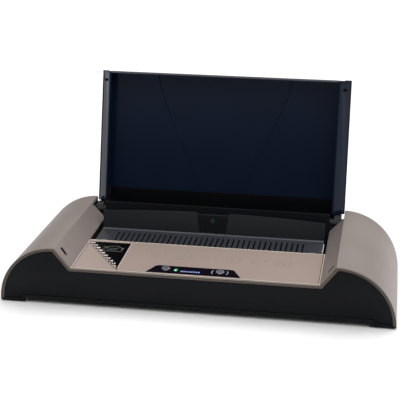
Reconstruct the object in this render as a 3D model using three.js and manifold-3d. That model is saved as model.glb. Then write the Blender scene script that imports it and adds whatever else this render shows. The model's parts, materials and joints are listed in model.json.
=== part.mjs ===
// A desktop thermal binding machine: two winged covers on a tray, a sloping control deck, a heated slot
// with a sliding clamp in front of it, and a lid that swings up and leans back behind the slot.
// Millimetres, +Z up. Inside the machine group x runs to the right, y runs to the back from the foot of
// the front panel, and z runs up from the surface that the rubber feet stand on. The outer group moves
// the origin under the middle of the whole object with its lid open.
import * as THREE from "three";
import { mergeVertices } from "three/addons/utils/BufferGeometryUtils.js";
import Module from "manifold-3d";

const wasm = await Module();
wasm.setup();

// ---- Driving dimensions ----
const GAP = 0.3; // between pieces that touch
const WALL = 2.5; // moulded covers

const HALF_WIDTH = 265; // out to the foot of each wing
const DEPTH = 224.4; // front foot to rear panel
const FRONT_LEAN = 0.18; // the front comes forward by this much for each mm of height
const CREST_X = 185; // the wing's top inner corner
const CREST_Z = 85;
const DECK_HALF = 165; // the foot of the wing's inner slope
const DECK_Z = 57;
const FLOOR_Z = 1.5; // under the wings
const FOOT_WIDTH = 34.7; // each wing's foot, seen from the front
const TRAY_Z = 6.8; // under the tray, between the feet
const SKIRT_Z = 30; // lower end of the wing's inner wall
const SHELL_Y = 3.3; // the shells start behind the front trim
const RIM = 5; // width of the front trim's face
const TRIM_DEPTH = 3;
const PANEL_RECESS = 1.5;

const DECK_RISE = 0.0411; // the deck climbs to the back
const DECK_ANGLE = Math.atan(DECK_RISE);
const DECK_Y0_Z = 57.43; // deck height at y = 0
const DECK_FRONT = -6.8;
const DECK_BACK = 96.6;
const DECK_THICK = 2.5;
const INLAY = 0.8; // how deep the overlay and the gauge are let in
const PROUD = 0.4; // how far they stand out

const HINGE_Y = 200;
const HINGE_Z = 72;
const OPEN_TILT = THREE.MathUtils.degToRad(11.8); // the open lid leans back
const LID_HALF = 184;
const LID_BACK = 25; // hinge axis to the lid's outer face
const LID_FRONT = 1; // hinge axis to the rim of its side walls
const LID_ROOT = 12; // along the lid, from the axis
const LID_END = 206;
const LID_FLARE = 0.65; // the side walls spread by this much for each mm of depth
const LID_END_WALL = 3;
const LID_WALL = 2.8; // its side walls
const BAR = { front: 4, low: 4, top: 33, apron: 178 }; // the black channel inside its root
const LATCH = { inside: 4.7, proud: 2.4, y0: 9, y1: 15, z0: 190.5, z1: 193.5 }; // a wedge in each side wall
const KNUCKLE = 6;
const PIN = 2.2;

const SLOT_LEAN = 0.2126; // the slot's rear wall
const SLOT_BACK_Y = 175.5; // its front face at the heater
const HEATER_Z = 28;
const REAR_WALL_TOP = 89;
const HEATER = { half: 151.5, y0: 146, y1: 174.2, under: HEATER_Z - 3 };
const POWER_BOARD_TOP = 15.6;
const CLAMP_LEAN = THREE.MathUtils.degToRad(10);
const CLAMP_HALF = 160;
const CLAMP_Y = 155; // foot of the clamp's face, along the deck
const CLAMP_THICK = 3.5;
const CLAMP_END = 24.2; // its height at its ends
const CLAMP_ARCH = 5.6; // and how much it rises to the middle
const GRIP = { foot: 19, flare: 0.115, depth: 2.2, top: 26, dip: 2.6, dipHalf: 25, dipSlant: 3.5 };
const PLATE_TOP = -3.3; // the clamp's plate runs this far under the deck's surface
const PLATE_THICK = 2;
const PLATE_FRONT = 75;
const PLATE_HALF = 159.5;
const VENT_COUNT = 36;
const VENT_PITCH = 7.54;
const VENT_WIDTH = 2;

const CUT_Y = 187.5; // the wings' slopes stop here, for the hinges
const REAR_COVER_Z = 69.7;
const REAR_LIMIT = DEPTH - 2.9; // pieces inside end here, clear of the rear panel
const HINGE_FRONT = 188.2; // the housings and the rear cover start here
const CREST_WALL_X = 184.7; // closes each wing beside its hinge
const HOUSING = { x0: 163.5, x1: 184.4, y0: HINGE_FRONT, y1: REAR_LIMIT, z0: 40, z1: 65 };
const FORK = { x0: 169.8, x1: 180.7 };
const ARM = { x0: 170.3, x1: 180.2 };
const RAIL = { x0: 153.5, x1: 158.5, y0: 25, y1: 172, z0: -14, z1: -9, frontLow: -48.2, backLow: -54 };

const OVERLAY = {
  front: -3, frontLeft: -64, frontRight: 62, back: 21, rearLeft: -56, rearRight: 52.3, corner: 5,
};
const GAUGE = { left: -160, right: -104, front: 4, back: 89.5, steps: 10 };
// A button's outline is two circles and the lines that touch both.
const CAP = { back: 5.6, tip: 1.6, apart: 6 };
const POWER_BUTTON = { x: -39.6, y: 8.8 };
const START_BUTTON = { x: 32.7, y: 8.8 };
const STATUS_LIGHT = { x: -25.9, y: 8.3, radius: 1.3 };
const PROGRESS = { x: -18.4, y: 5, pitch: 3.39, count: 8, radius: 0.9 };
const BOARD = { half: 70, y0: 0.5, y1: 22.1, top: -10.4, thick: 1.6 }; // under the deck
const ROCKER = { x: 90.5, y: 221.8, z: 31.5, halfX: 10, halfZ: 7.5 };
const INLET = { x: 132, z: 32, halfX: 13.5, halfZ: 10 };
const RUBBER_FEET = [[-247.5, 24], [247.5, 24], [-247.5, 204], [247.5, 204]];
const BASE_SCREWS = [[-133, 28.7], [133, 28.7], [-174, 205], [174, 205]];
const SCREW = { head: 3.4, shank: 1.5, headHeight: 2, tip: 21, hole: 2 };
const FOOT_STEM = { radius: 3, top: 5.5 };

// ---- Shapes ----
// A closed geometry as a solid that can be cut and joined.
function solid(geometry) {
  const bare = geometry.clone();
  bare.deleteAttribute("normal");
  bare.deleteAttribute("uv");
  const merged = mergeVertices(bare, 1e-4);
  const vertProperties = merged.attributes.position.array;
  const triVerts = new Uint32Array(merged.index.array);
  return new wasm.Manifold(new wasm.Mesh({ numProp: 3, vertProperties, triVerts }));
}

// An outline pushed along an axis. It is in (y, z) for x, in (x, z) for y and in (x, y) for z.
function prism(outline, axis, from, to) {
  const shape = new THREE.Shape(outline.map(([a, b]) => new THREE.Vector2(a, b)));
  const geometry = new THREE.ExtrudeGeometry(shape, { depth: to - from, bevelEnabled: false });
  const turn = new THREE.Matrix4();
  if (axis === "x") turn.set(0, 0, 1, from, 1, 0, 0, 0, 0, 1, 0, 0, 0, 0, 0, 1);
  if (axis === "y") turn.set(1, 0, 0, 0, 0, 0, -1, to, 0, 1, 0, 0, 0, 0, 0, 1);
  if (axis === "z") turn.makeTranslation(0, 0, from);
  return geometry.applyMatrix4(turn);
}

function block(x0, x1, y0, y1, z0, z1) {
  const geometry = new THREE.BoxGeometry(x1 - x0, y1 - y0, z1 - z0);
  return solid(geometry.translate((x0 + x1) / 2, (y0 + y1) / 2, (z0 + z1) / 2));
}

// A block given by its nearer and farther distance from the middle, on one side of it.
function sideBlock(side, near, far, y0, y1, z0, z1) {
  return block(Math.min(side * near, side * far), Math.max(side * near, side * far), y0, y1, z0, z1);
}

function rod(axis, radius, at, from, to, sides = 20) {
  const geometry = new THREE.CylinderGeometry(radius, radius, to - from, sides);
  const middle = (from + to) / 2;
  if (axis === "x") geometry.rotateZ(Math.PI / 2).translate(middle, at[0], at[1]);
  if (axis === "y") geometry.translate(at[0], middle, at[1]);
  if (axis === "z") geometry.rotateX(Math.PI / 2).translate(at[0], at[1], middle);
  return solid(geometry);
}

const join = (first, ...rest) => rest.reduce((whole, piece) => whole.add(piece), first);
const cut = (first, ...rest) => rest.reduce((whole, piece) => whole.subtract(piece), first);

// Leans a geometry forward with the front panel.
function leanForward(geometry) {
  const shear = new THREE.Matrix4().set(1, 0, 0, 0, 0, 1, -FRONT_LEAN, 0, 0, 0, 1, 0, 0, 0, 0, 1);
  return geometry.applyMatrix4(shear);
}

// The wing's back from the crest out and down to its foot: a quarter ellipse, drawn in by an inset.
function wingArc(inset, bottom, steps = 14) {
  const middle = CREST_X + slopeShift(inset);
  const across = HALF_WIDTH - inset - middle;
  const up = CREST_Z - inset;
  const lowest = Math.asin(bottom / up);
  return Array.from({ length: steps + 1 }, (_, i) => {
    const angle = Math.PI / 2 - (i / steps) * (Math.PI / 2 - lowest);
    return [middle + across * Math.cos(angle), up * Math.sin(angle)];
  });
}

// How far an inset moves the ends of the wing's inner slope outwards.
function slopeShift(inset) {
  const run = (CREST_X - DECK_HALF) / (CREST_Z - DECK_Z);
  return inset * (Math.hypot(1, run) - run);
}

// The machine seen from the front, drawn in by an inset.
function frontOutline(inset) {
  const bottom = FLOOR_Z + inset;
  const footX = HALF_WIDTH - FOOT_WIDTH + inset;
  const right = [
    [DECK_HALF + slopeShift(inset), DECK_Z - inset],
    ...wingArc(inset, bottom),
    [footX, bottom],
    [footX, TRAY_Z + inset],
  ];
  const left = right.map(([x, z]) => [-x, z]).reverse();
  return [...right, ...left];
}

function circle(radius, centre, sides = 20) {
  return Array.from({ length: sides }, (_, i) => {
    const angle = (i / sides) * 2 * Math.PI;
    return [centre[0] + radius * Math.cos(angle), centre[1] + radius * Math.sin(angle)];
  });
}

// ---- Base and covers ----
function baseTray() {
  const half = HALF_WIDTH - FOOT_WIDTH - GAP;
  const standoff = { radius: 3, top: 13.7 };
  const vent = { count: 12, first: -66, pitch: 12, half: 1.6, y0: 60, y1: 118 };
  const top = TRAY_Z + WALL;
  const floor = block(-half, half, 6, REAR_LIMIT, TRAY_Z, top);
  const flange = (side) => sideBlock(side, half - 3, half, 12, DEPTH - 8, TRAY_Z, 24);
  const posts = [[-116, 193], [-26, 193], [-116, 216], [-26, 216]];
  const standoffs = posts.map((at) => rod("z", standoff.radius, at, TRAY_Z + 1, standoff.top, 12));
  const holes = BASE_SCREWS.map((at) => rod("z", SCREW.hole, at, TRAY_Z - 1, top + 1, 16));
  const vents = Array.from({ length: vent.count }, (_, i) => {
    const x = vent.first + i * vent.pitch;
    return block(x - vent.half, x + vent.half, vent.y0, vent.y1, TRAY_Z - 1, top + 1);
  });
  return cut(join(floor, flange(-1), flange(1), ...standoffs), ...holes, ...vents);
}

// A shell open below: back, crest, inner slope, inner wall, and the foot's floor with its upstand.
function wingOutline(side) {
  const run = (CREST_X - DECK_HALF) / (CREST_Z - DECK_Z);
  const legX = HALF_WIDTH - FOOT_WIDTH;
  const innerFoot = DECK_Z - (DECK_HALF - WALL + WALL * Math.hypot(1, run) - DECK_HALF) / run;
  const outer = [
    [DECK_HALF, SKIRT_Z],
    [DECK_HALF, DECK_Z],
    ...wingArc(0, FLOOR_Z),
    [legX, FLOOR_Z],
    [legX, FLOOR_Z + 6.7],
  ];
  const inner = [
    [legX + WALL, FLOOR_Z + 6.7],
    [legX + WALL, FLOOR_Z + WALL],
    ...wingArc(WALL, FLOOR_Z + WALL).reverse(),
    [DECK_HALF + WALL, innerFoot],
    [DECK_HALF + WALL, SKIRT_Z],
  ];
  return [...outer, ...inner].map(([x, z]) => [side * x, z]);
}

// The front end leans with the front panel, and the foot of the slope climbs with the deck.
function wingShape(side) {
  const geometry = prism(wingOutline(side), "y", 0, DEPTH);
  const place = geometry.attributes.position;
  const innerCrest = CREST_Z - WALL;
  for (let i = 0; i < place.count; i += 1) {
    const z = place.getZ(i);
    const atFront = place.getY(i) < 1;
    const onSlope = Math.abs(place.getX(i)) < CREST_X + WALL;
    const drop = Math.min(1, Math.max(0, (innerCrest - z) / (innerCrest - DECK_Z)));
    if (atFront) place.setY(i, SHELL_Y - FRONT_LEAN * z);
    else if (onSlope) place.setZ(i, z + drop * DECK_RISE * DEPTH);
  }
  return solid(geometry);
}

function wingCover(side) {
  const latch = { x0: 170, x1: 183, y0: 4.4, y1: 9.6, z0: 69.5, z1: 79 };
  const crestWallLow = 44;
  const hingeSpace = sideBlock(
    side, DECK_HALF - 5, CREST_WALL_X, CUT_Y, DEPTH + 2, SKIRT_Z - 10, CREST_Z + 5);
  const latchSlot = sideBlock(side, latch.x0, latch.x1, latch.y0, latch.y1, latch.z0, latch.z1);
  const crestWall = sideBlock(
    side, CREST_WALL_X, CREST_WALL_X + WALL, CUT_Y, REAR_LIMIT, crestWallLow, CREST_Z - 1);
  const feet = RUBBER_FEET.filter(([x]) => x * side > 0);
  const spigots = feet.map((at) => rod("z", FOOT_STEM.radius + GAP, at, 0, FOOT_STEM.top + 0.5, 16));
  const panelSpace = solid(leanForward(prism(frontOutline(WALL + 0.01), "y", 0, SHELL_Y + WALL + GAP)));
  return join(cut(wingShape(side), hingeSpace, latchSlot, panelSpace, ...spigots), crestWall);
}

function frontTrim() {
  const whole = solid(leanForward(prism(frontOutline(0), "y", 0, TRIM_DEPTH)));
  return whole.subtract(solid(leanForward(prism(frontOutline(RIM), "y", -2, TRIM_DEPTH + 2))));
}

// A field that fills the trim, on a larger plate behind it.
function frontPanel() {
  const field = leanForward(prism(frontOutline(RIM + GAP), "y", PANEL_RECESS, SHELL_Y + 0.5));
  const plate = leanForward(prism(frontOutline(WALL + GAP), "y", SHELL_Y, SHELL_Y + WALL));
  return solid(field).add(solid(plate));
}

// It follows the front's outline, and closes the space between the wings up to the rear cover.
function rearPanel() {
  const between = CREST_WALL_X - GAP;
  const outline = solid(prism(frontOutline(WALL + GAP), "y", DEPTH - WALL, DEPTH));
  const whole = outline.add(block(-between, between, DEPTH - WALL, DEPTH, SKIRT_Z, REAR_COVER_Z));
  const hole = ({ x, z, halfX, halfZ }) => block(
    x - halfX - GAP, x + halfX + GAP, DEPTH - 5, DEPTH + 5, z - halfZ - GAP, z + halfZ + GAP);
  const lidSpace = block(-CREST_WALL_X, CREST_WALL_X, DEPTH - 5, DEPTH + 5, REAR_COVER_Z, CREST_Z + 5);
  return cut(whole, lidSpace, hole(INLET), hole(ROCKER));
}

function rearTopCover() {
  const half = HOUSING.x0 - GAP;
  const skirt = { y0: HINGE_FRONT + 0.8, thick: WALL, z: 50 };
  const top = block(-half, half, HINGE_FRONT, REAR_LIMIT, REAR_COVER_Z - WALL, REAR_COVER_Z);
  return top.add(block(-half, half, skirt.y0, skirt.y0 + skirt.thick, skirt.z, REAR_COVER_Z - 1));
}

function rubberFoot(at) {
  const pad = rod("z", 9, at, 0, FLOOR_Z - GAP, 24);
  return pad.add(rod("z", FOOT_STEM.radius, at, 0.5, FOOT_STEM.top, 16));
}

function baseScrew(at) {
  const head = rod("z", SCREW.head, at, TRAY_Z - SCREW.headHeight, TRAY_Z - GAP, 16);
  return head.add(rod("z", SCREW.shank, at, TRAY_Z - 1, SCREW.tip, 12));
}

// ---- Hinges ----
function hingeHousing(side) {
  const h = HOUSING;
  const boss = KNUCKLE + 1.3;
  const post = { x0: 168, x1: 180, y0: 198, y1: 212 };
  const screw = BASE_SCREWS[side < 0 ? 2 : 3];
  const body = sideBlock(side, h.x0, h.x1, h.y0, h.y1, h.z0, h.z1);
  const cheek = (near, far) => {
    const plate = sideBlock(side, near, far, h.y0, h.y1, h.z1 - 1, REAR_COVER_Z);
    const from = Math.min(side * near, side * far);
    return plate.add(rod("x", boss, [HINGE_Y, HINGE_Z], from, from + far - near, 24));
  };
  const column = sideBlock(side, post.x0, post.x1, post.y0, post.y1, TRAY_Z + WALL + GAP, h.z0 + 1);
  const bore = rod("x", PIN + GAP, [HINGE_Y, HINGE_Z], -HALF_WIDTH, HALF_WIDTH, 20);
  const screwHole = rod("z", SCREW.shank + GAP, screw, 0, SCREW.tip + 2, 12);
  return cut(join(body, cheek(h.x0, FORK.x0), cheek(FORK.x1, h.x1), column), bore, screwHole);
}

function hingePin(side) {
  const ends = [HOUSING.x0 + 0.7, HOUSING.x1 - GAP].map((x) => side * x).sort((a, b) => a - b);
  return rod("x", PIN, [HINGE_Y, HINGE_Z], ends[0], ends[1], 20);
}

// The open lid's arms come down just above these pads.
function lidStop(side) {
  const low = HOUSING.z1;
  const outline = [[212, low], [220, low], [220, 73], [213, 71.7], [212, 71.2]];
  const ends = [FORK.x0 + 1.2, FORK.x1 - 1.2].map((x) => side * x).sort((a, b) => a - b);
  return solid(prism(outline, "x", ends[0], ends[1]));
}

// ---- Lid, drawn with its hinge axis at the origin, y to its outer face and z along it ----
const lidEdge = (y) => LID_HALF - LID_FLARE * (LID_BACK - y);

function lidShell() {
  const inside = LID_BACK - WALL;
  const right = [
    [lidEdge(LID_BACK), LID_BACK],
    [lidEdge(LID_FRONT), LID_FRONT],
    [lidEdge(LID_FRONT) - LID_WALL, LID_FRONT],
    [lidEdge(inside) - LID_WALL, inside],
  ];
  const channel = [...right, ...right.map(([x, y]) => [-x, y]).reverse()];
  const end = [right[0], right[1], [-right[1][0], right[1][1]], [-right[0][0], right[0][1]]];
  const tray = solid(prism(channel, "z", LID_ROOT, LID_END));
  const closed = tray.add(solid(prism(end, "z", LID_END - LID_END_WALL, LID_END)));
  const latchHole = (side) => sideBlock(
    side, 160, 190, LATCH.y0 - GAP, LATCH.y1 + GAP, LATCH.z0 - GAP, LATCH.z1 + GAP);
  return cut(closed, latchHole(-1), latchHole(1));
}

// A black channel that lines the root of the tray; its back runs on down behind the slot.
function lidHingeBar() {
  const thick = 1.5;
  const back = LID_BACK - WALL - GAP;
  const outside = (y) => lidEdge(y) - LID_WALL - GAP;
  const right = [
    [outside(BAR.front), BAR.front],
    [outside(back), back],
  ];
  const inner = [
    [outside(BAR.front) - thick, BAR.front],
    [outside(back - thick) - thick, back - thick],
  ];
  const mirrored = (points) => points.map(([x, y]) => [-x, y]).reverse();
  const outline = [...right, ...mirrored(right), ...[...mirrored(inner)].reverse(), ...[...inner].reverse()];
  const channel = solid(prism(outline, "z", LID_ROOT + 1, BAR.top));
  return channel.add(block(-BAR.apron, BAR.apron, back - thick, back, BAR.low, LID_ROOT + 2));
}

// A knuckle on the pin, a pad under the lid's root and a strap inside the lid.
function lidArm(side) {
  const padFront = [[20.4, 6], [20.4, LID_ROOT - GAP], [2, LID_ROOT - GAP], [-4, 7]];
  const pad = [[-KNUCKLE, 0], [KNUCKLE, 0], ...padFront];
  const strapSize = { x0: 165, x1: 171.2, y0: 15.8, y1: 20.4, length: 22 };
  const ends = [side * ARM.x0, side * ARM.x1].sort((a, b) => a - b);
  const knuckle = rod("x", KNUCKLE, [0, 0], ends[0], ends[1], 24);
  const strap = sideBlock(side, strapSize.x0, strapSize.x1, strapSize.y0, strapSize.y1,
    LID_ROOT - 1, LID_ROOT + strapSize.length);
  const bore = rod("x", PIN + GAP, [0, 0], -HALF_WIDTH, HALF_WIDTH, 20);
  return cut(join(knuckle, solid(prism(pad, "x", ends[0], ends[1])), strap), bore);
}

function lidLatch(side) {
  const near = (y) => lidEdge(y) - LATCH.inside;
  const far = (y) => lidEdge(y) + LATCH.proud;
  const { y0, y1 } = LATCH;
  const outline = [[near(y0), y0], [far(y0), y0], [far(y1), y1], [near(y1), y1]];
  return solid(prism(outline.map(([x, y]) => [side * x, y]), "z", LATCH.z0, LATCH.z1));
}

// ---- Deck, drawn with its surface at z = 0 ----
// Straight in front, wider there than at the back, and a short curve for each of its two rear corners.
function overlayOutline(grow) {
  const { front, frontLeft, frontRight, back, rearLeft, rearRight, corner } = OVERLAY;
  const bend = (x, towards) => Array.from({ length: 5 }, (_, i) => {
    const angle = (i / 4) * (Math.PI / 2);
    return [x + towards * corner * (1 - Math.sin(angle)), back + grow - corner * (1 - Math.cos(angle))];
  });
  return [
    [frontLeft - grow, front - grow],
    [frontRight + grow, front - grow],
    ...bend(rearRight + grow, -1).reverse(),
    ...bend(rearLeft - grow, 1),
  ];
}

// A right triangle whose long side is a flight of steps, one for each thickness of document.
function gaugeOutline(grow) {
  const { left, right, front, back, steps } = GAUGE;
  const stepX = (right - left) / steps;
  const stepY = (back - front) / steps;
  const flight = [];
  for (let i = 0; i < steps; i += 1) {
    flight.push([right - i * stepX - grow, front + i * stepY - grow]);
    flight.push([right - (i + 1) * stepX - grow, front + i * stepY - grow]);
  }
  const corners = [[left - grow, back + grow], [right + grow, back + grow]];
  return [[right + grow, front - grow], ...flight.slice(1), ...corners];
}

function progressLights(radius, from, to) {
  return Array.from({ length: PROGRESS.count }, (_, i) =>
    rod("z", radius, [PROGRESS.x + i * PROGRESS.pitch, PROGRESS.y], from, to, 10));
}

function deckHoles() {
  const [low, high] = [-6, 3];
  const buttonHole = (spot) => solid(prism(capOutline(spot, GAP), "z", low, high));
  return [
    buttonHole(POWER_BUTTON),
    buttonHole(START_BUTTON),
    rod("z", STATUS_LIGHT.radius + GAP, [STATUS_LIGHT.x, STATUS_LIGHT.y], low, high, 24),
    ...progressLights(PROGRESS.radius + GAP, low, high),
  ];
}

function frontDeck() {
  const half = DECK_HALF - 0.4;
  const plate = block(-half, half, DECK_FRONT, DECK_BACK, -DECK_THICK, 0);
  const overlayPocket = solid(prism(overlayOutline(GAP), "z", -INLAY, 2));
  const gaugePocket = solid(prism(gaugeOutline(GAP), "z", -INLAY, 2));
  return cut(plate, overlayPocket, gaugePocket, ...deckHoles());
}

function controlOverlay() {
  return cut(solid(prism(overlayOutline(0), "z", GAP - INLAY, PROUD)), ...deckHoles());
}

function thicknessGauge() {
  return solid(prism(gaugeOutline(0), "z", GAP - INLAY, PROUD));
}

function statusLight() {
  const at = [STATUS_LIGHT.x, STATUS_LIGHT.y];
  return rod("z", STATUS_LIGHT.radius, at, -9, PROUD + 0.3, 16);
}

function progressLightBar() {
  const last = PROGRESS.x + (PROGRESS.count - 1) * PROGRESS.pitch;
  const margin = 2;
  const bar = block(PROGRESS.x - margin, last + margin, PROGRESS.y - margin, PROGRESS.y + margin,
    -6, -DECK_THICK - GAP);
  return join(bar, ...progressLights(PROGRESS.radius, -5, PROUD + 0.2));
}

// A button seen from above: a wide round back that draws in to a blunt tip at the front.
function capOutline({ x, y }, grow) {
  const back = CAP.back + grow;
  const tip = CAP.tip + grow;
  const touch = Math.asin((back - tip) / CAP.apart);
  const sweep = (radius, centreY, from, to, steps) => Array.from({ length: steps + 1 }, (_, i) => {
    const angle = from + (i / steps) * (to - from);
    return [x + radius * Math.cos(angle), centreY + radius * Math.sin(angle)];
  });
  return [
    ...sweep(back, y + CAP.apart / 2, -touch, Math.PI + touch, 16),
    ...sweep(tip, y - CAP.apart / 2, Math.PI + touch, 2 * Math.PI - touch, 5),
  ];
}

// A cap with a drawn-in edge, a flange that keeps it under the deck, and a stem over its switch.
function pushButton(spot) {
  const flangeLow = -4;
  const shoulder = 0.9;
  const top = 1.5;
  const layer = (grow, from, to) => solid(prism(capOutline(spot, grow), "z", from, to));
  const stem = rod("z", 1.4, [spot.x, spot.y], flangeLow - 0.9, flangeLow + 0.1, 16);
  const flange = layer(1, flangeLow, -DECK_THICK - GAP);
  return join(stem, flange, layer(0, flangeLow, shoulder), layer(-0.6, shoulder - 0.1, top));
}

// A switch stands on the board, and its plunger ends under the button's stem.
function tactSwitch({ x, y }) {
  const half = 3;
  const plunger = { radius: 1.6, top: -6.1 };
  const body = block(x - half, x + half, y - half, y + half, BOARD.top + GAP, BOARD.top + 3.7);
  return body.add(rod("z", plunger.radius, [x, y], BOARD.top + 3.4, plunger.top, 12));
}

function controlBoard() {
  const board = block(-BOARD.half, BOARD.half, BOARD.y0, BOARD.y1, BOARD.top - BOARD.thick, BOARD.top);
  const hole = (x) => rod("z", 1.5, [x, 10], BOARD.top - 3, BOARD.top + 2, 12);
  return cut(board, hole(6 - BOARD.half), hole(BOARD.half - 6));
}

// Two side beams and two cross beams under the deck, on two legs.
function deckFrame() {
  const front = -1.9;
  const back = 22.5;
  const half = DECK_HALF - 0.7;
  const under = -DECK_THICK - GAP;
  const leg = { x0: 128, x1: 138, depth: 9, low: -48.2 };
  const beam = (side) => sideBlock(side, half - 3.3, half, front, DECK_BACK - 1, -8, under);
  const cross = (y0) => block(-half, half, y0, y0 + 2, -14, under);
  const column = (side) => sideBlock(side, leg.x0, leg.x1, back, back + leg.depth, leg.low, -13);
  const screwHole = (side) => rod("z", 2.1, [side * BASE_SCREWS[1][0], back + leg.depth / 2], -60, -34, 12);
  const whole = join(cross(front), cross(back), beam(-1), beam(1), column(-1), column(1));
  return cut(whole, screwHole(-1), screwHole(1));
}

// ---- Clamp, in the deck's frame ----
function clampPlate() {
  const back = CLAMP_Y - GAP - 0.4;
  const vent = { y0: 98, y1: 140 };
  const plate = block(-PLATE_HALF, PLATE_HALF, PLATE_FRONT, back, PLATE_TOP - PLATE_THICK, PLATE_TOP);
  const first = (-(VENT_COUNT - 1) * VENT_PITCH) / 2;
  const vents = Array.from({ length: VENT_COUNT }, (_, i) => {
    const x = first + i * VENT_PITCH;
    return block(x - VENT_WIDTH / 2, x + VENT_WIDTH / 2, vent.y0, vent.y1, PLATE_TOP - 5, PLATE_TOP + 2);
  });
  return cut(plate, ...vents);
}

// The finger scoop: it widens upwards.
function gripOutline(grow, top) {
  const low = 1 - grow;
  const spread = (top - low) * GRIP.flare;
  const half = GRIP.foot + grow;
  return [[-half, low], [half, low], [half + spread, top], [-half - spread, top]];
}

// The arched top of the clamp, with a shallow dip over the finger scoop.
function clampTop(x) {
  const arch = CLAMP_END + CLAMP_ARCH * (1 - (x / CLAMP_HALF) ** 2);
  const dip = Math.min(1, Math.max(0, (GRIP.dipHalf - Math.abs(x)) / GRIP.dipSlant));
  return arch - dip * GRIP.dip;
}

// A board with an arched top, a narrower tongue down to the heater, and a pocket for the finger grip.
function clampWall() {
  const step = (2 * CLAMP_HALF) / 12;
  const even = Array.from({ length: 13 }, (_, i) => CLAMP_HALF - i * step);
  const dipEnds = [GRIP.dipHalf, GRIP.dipHalf - GRIP.dipSlant];
  const across = [...even, ...dipEnds, ...dipEnds.map((x) => -x)].sort((a, b) => b - a);
  const arch = across.map((x) => [x, clampTop(x)]);
  const tongue = { half: CLAMP_HALF - 9.5, shoulder: -3, low: -28.5 };
  const left = [[-CLAMP_HALF, tongue.shoulder], [-tongue.half, tongue.shoulder], [-tongue.half, tongue.low]];
  const right = left.map(([x, z]) => [-x, z]).reverse();
  const pocket = solid(prism(gripOutline(0, CLAMP_END + 10), "y", -1, GRIP.depth));
  return solid(prism([...arch, ...left, ...right], "y", 0, CLAMP_THICK)).subtract(pocket);
}

function clampGrip() {
  return solid(prism(gripOutline(-GAP, GRIP.top), "y", 1, GRIP.depth - GAP));
}

// A block that hangs under the plate and straddles the rail.
function clampShoe(side) {
  const size = { x0: 151.8, x1: 160.3, y0: 116, y1: 148, low: -12.5 };
  const play = 0.4;
  const body = sideBlock(side, size.x0, size.x1, size.y0, size.y1, size.low, PLATE_TOP - PLATE_THICK - GAP);
  const groove = sideBlock(
    side, RAIL.x0 - play, RAIL.x1 + play, size.y0 - 16, size.y1 + 12, -20, RAIL.z1 + play);
  return body.subtract(groove);
}

function clampRail(side) {
  const r = RAIL;
  const legDepth = 5;
  const leg = (y0, bottom) => sideBlock(side, r.x0, r.x1, y0, y0 + legDepth, bottom, r.z0 + 1);
  const bar = sideBlock(side, r.x0, r.x1, r.y0, r.y1, r.z0, r.z1);
  return join(bar, leg(r.y0, RAIL.frontLow), leg(r.y1 - legDepth, RAIL.backLow));
}

// ---- Slot and heater ----
const slotBack = (z) => SLOT_BACK_Y + (z - HEATER_Z) * SLOT_LEAN;

function slotRearWall() {
  const low = 24;
  const thick = 3.1;
  const half = DECK_HALF - 0.4;
  const footSize = { x0: 120, x1: 132, y0: 174.9, y1: 188 };
  const outline = [
    [slotBack(low), low],
    [slotBack(REAR_WALL_TOP), REAR_WALL_TOP],
    [slotBack(REAR_WALL_TOP) + thick, REAR_WALL_TOP],
    [slotBack(low) + thick, low],
  ];
  const foot = (side) => sideBlock(
    side, footSize.x0, footSize.x1, footSize.y0, footSize.y1, TRAY_Z + WALL + GAP, low + 1);
  return join(solid(prism(outline, "x", -half, half)), foot(-1), foot(1));
}

// A metal plate at the bottom of the slot, with a low lip in front.
function heaterPlate() {
  const h = HEATER;
  const plate = block(-h.half, h.half, h.y0, h.y1, h.under, HEATER_Z);
  return plate.add(block(-h.half, h.half, h.y0, h.y0 + 2, HEATER_Z - 1, HEATER_Z + 2.5));
}

// The strip that heats it, the two posts that carry it, and what watches its temperature.
function heaterElement() {
  return block(-139, 139, 152, 168, HEATER.under - 6, HEATER.under - GAP);
}

function heaterSupport(side) {
  return sideBlock(side, 141, 150.5, HEATER.y0 + 2, 172, TRAY_Z + WALL + GAP, HEATER.under - GAP);
}

function thermalFuse() {
  return rod("x", 1.9, [149.4, 22.4], 20, 36, 14);
}

function temperatureSensor() {
  return block(-32, -25, 168.6, 173.4, 20.5, HEATER.under - GAP);
}

// ---- Electrics ----
function powerBoard() {
  return block(-122, -20, 190.5, 219, POWER_BOARD_TOP - 1.6, POWER_BOARD_TOP);
}

function supplyTransformer() {
  const core = block(-102, -72, 195, 217, POWER_BOARD_TOP + GAP, 37);
  const winding = block(-98, -76, 192, 219.5, 20, 33);
  return core.add(winding);
}

function beeper() {
  const at = [-44, 203];
  return rod("z", 6, at, POWER_BOARD_TOP + GAP, 24, 20).subtract(rod("z", 1.2, at, 21, 26, 12));
}

// A flat cable under the heater, from the rear board up to the board under the deck.
function ribbonCable() {
  const route = [[192, 13.4], [187, 13.4], [184, 11.2], [16, 11.2], [13.2, 13], [11, 18], [11, 44.6]];
  const back = route.map(([y, z], i) => (i > 3 ? [y - 1, z - 0.4] : [y, z - 1])).reverse();
  return solid(prism([...route, ...back], "x", -68, -55));
}

// A sleeved pair of wires along the tray from the supply board to the heater.
function heaterLead() {
  const route = new THREE.CatmullRomCurve3([
    new THREE.Vector3(-30, 190, 17.2),
    new THREE.Vector3(-24, 184, 15),
    new THREE.Vector3(-12, 176, 14),
    new THREE.Vector3(0, 166, 14.4),
    new THREE.Vector3(2, 160, 16.9),
  ]);
  const section = new THREE.Shape(circle(1.6, [0, 0], 8).map(([a, b]) => new THREE.Vector2(a, b)));
  return solid(new THREE.ExtrudeGeometry(section, { steps: 12, bevelEnabled: false, extrudePath: route }));
}

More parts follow.
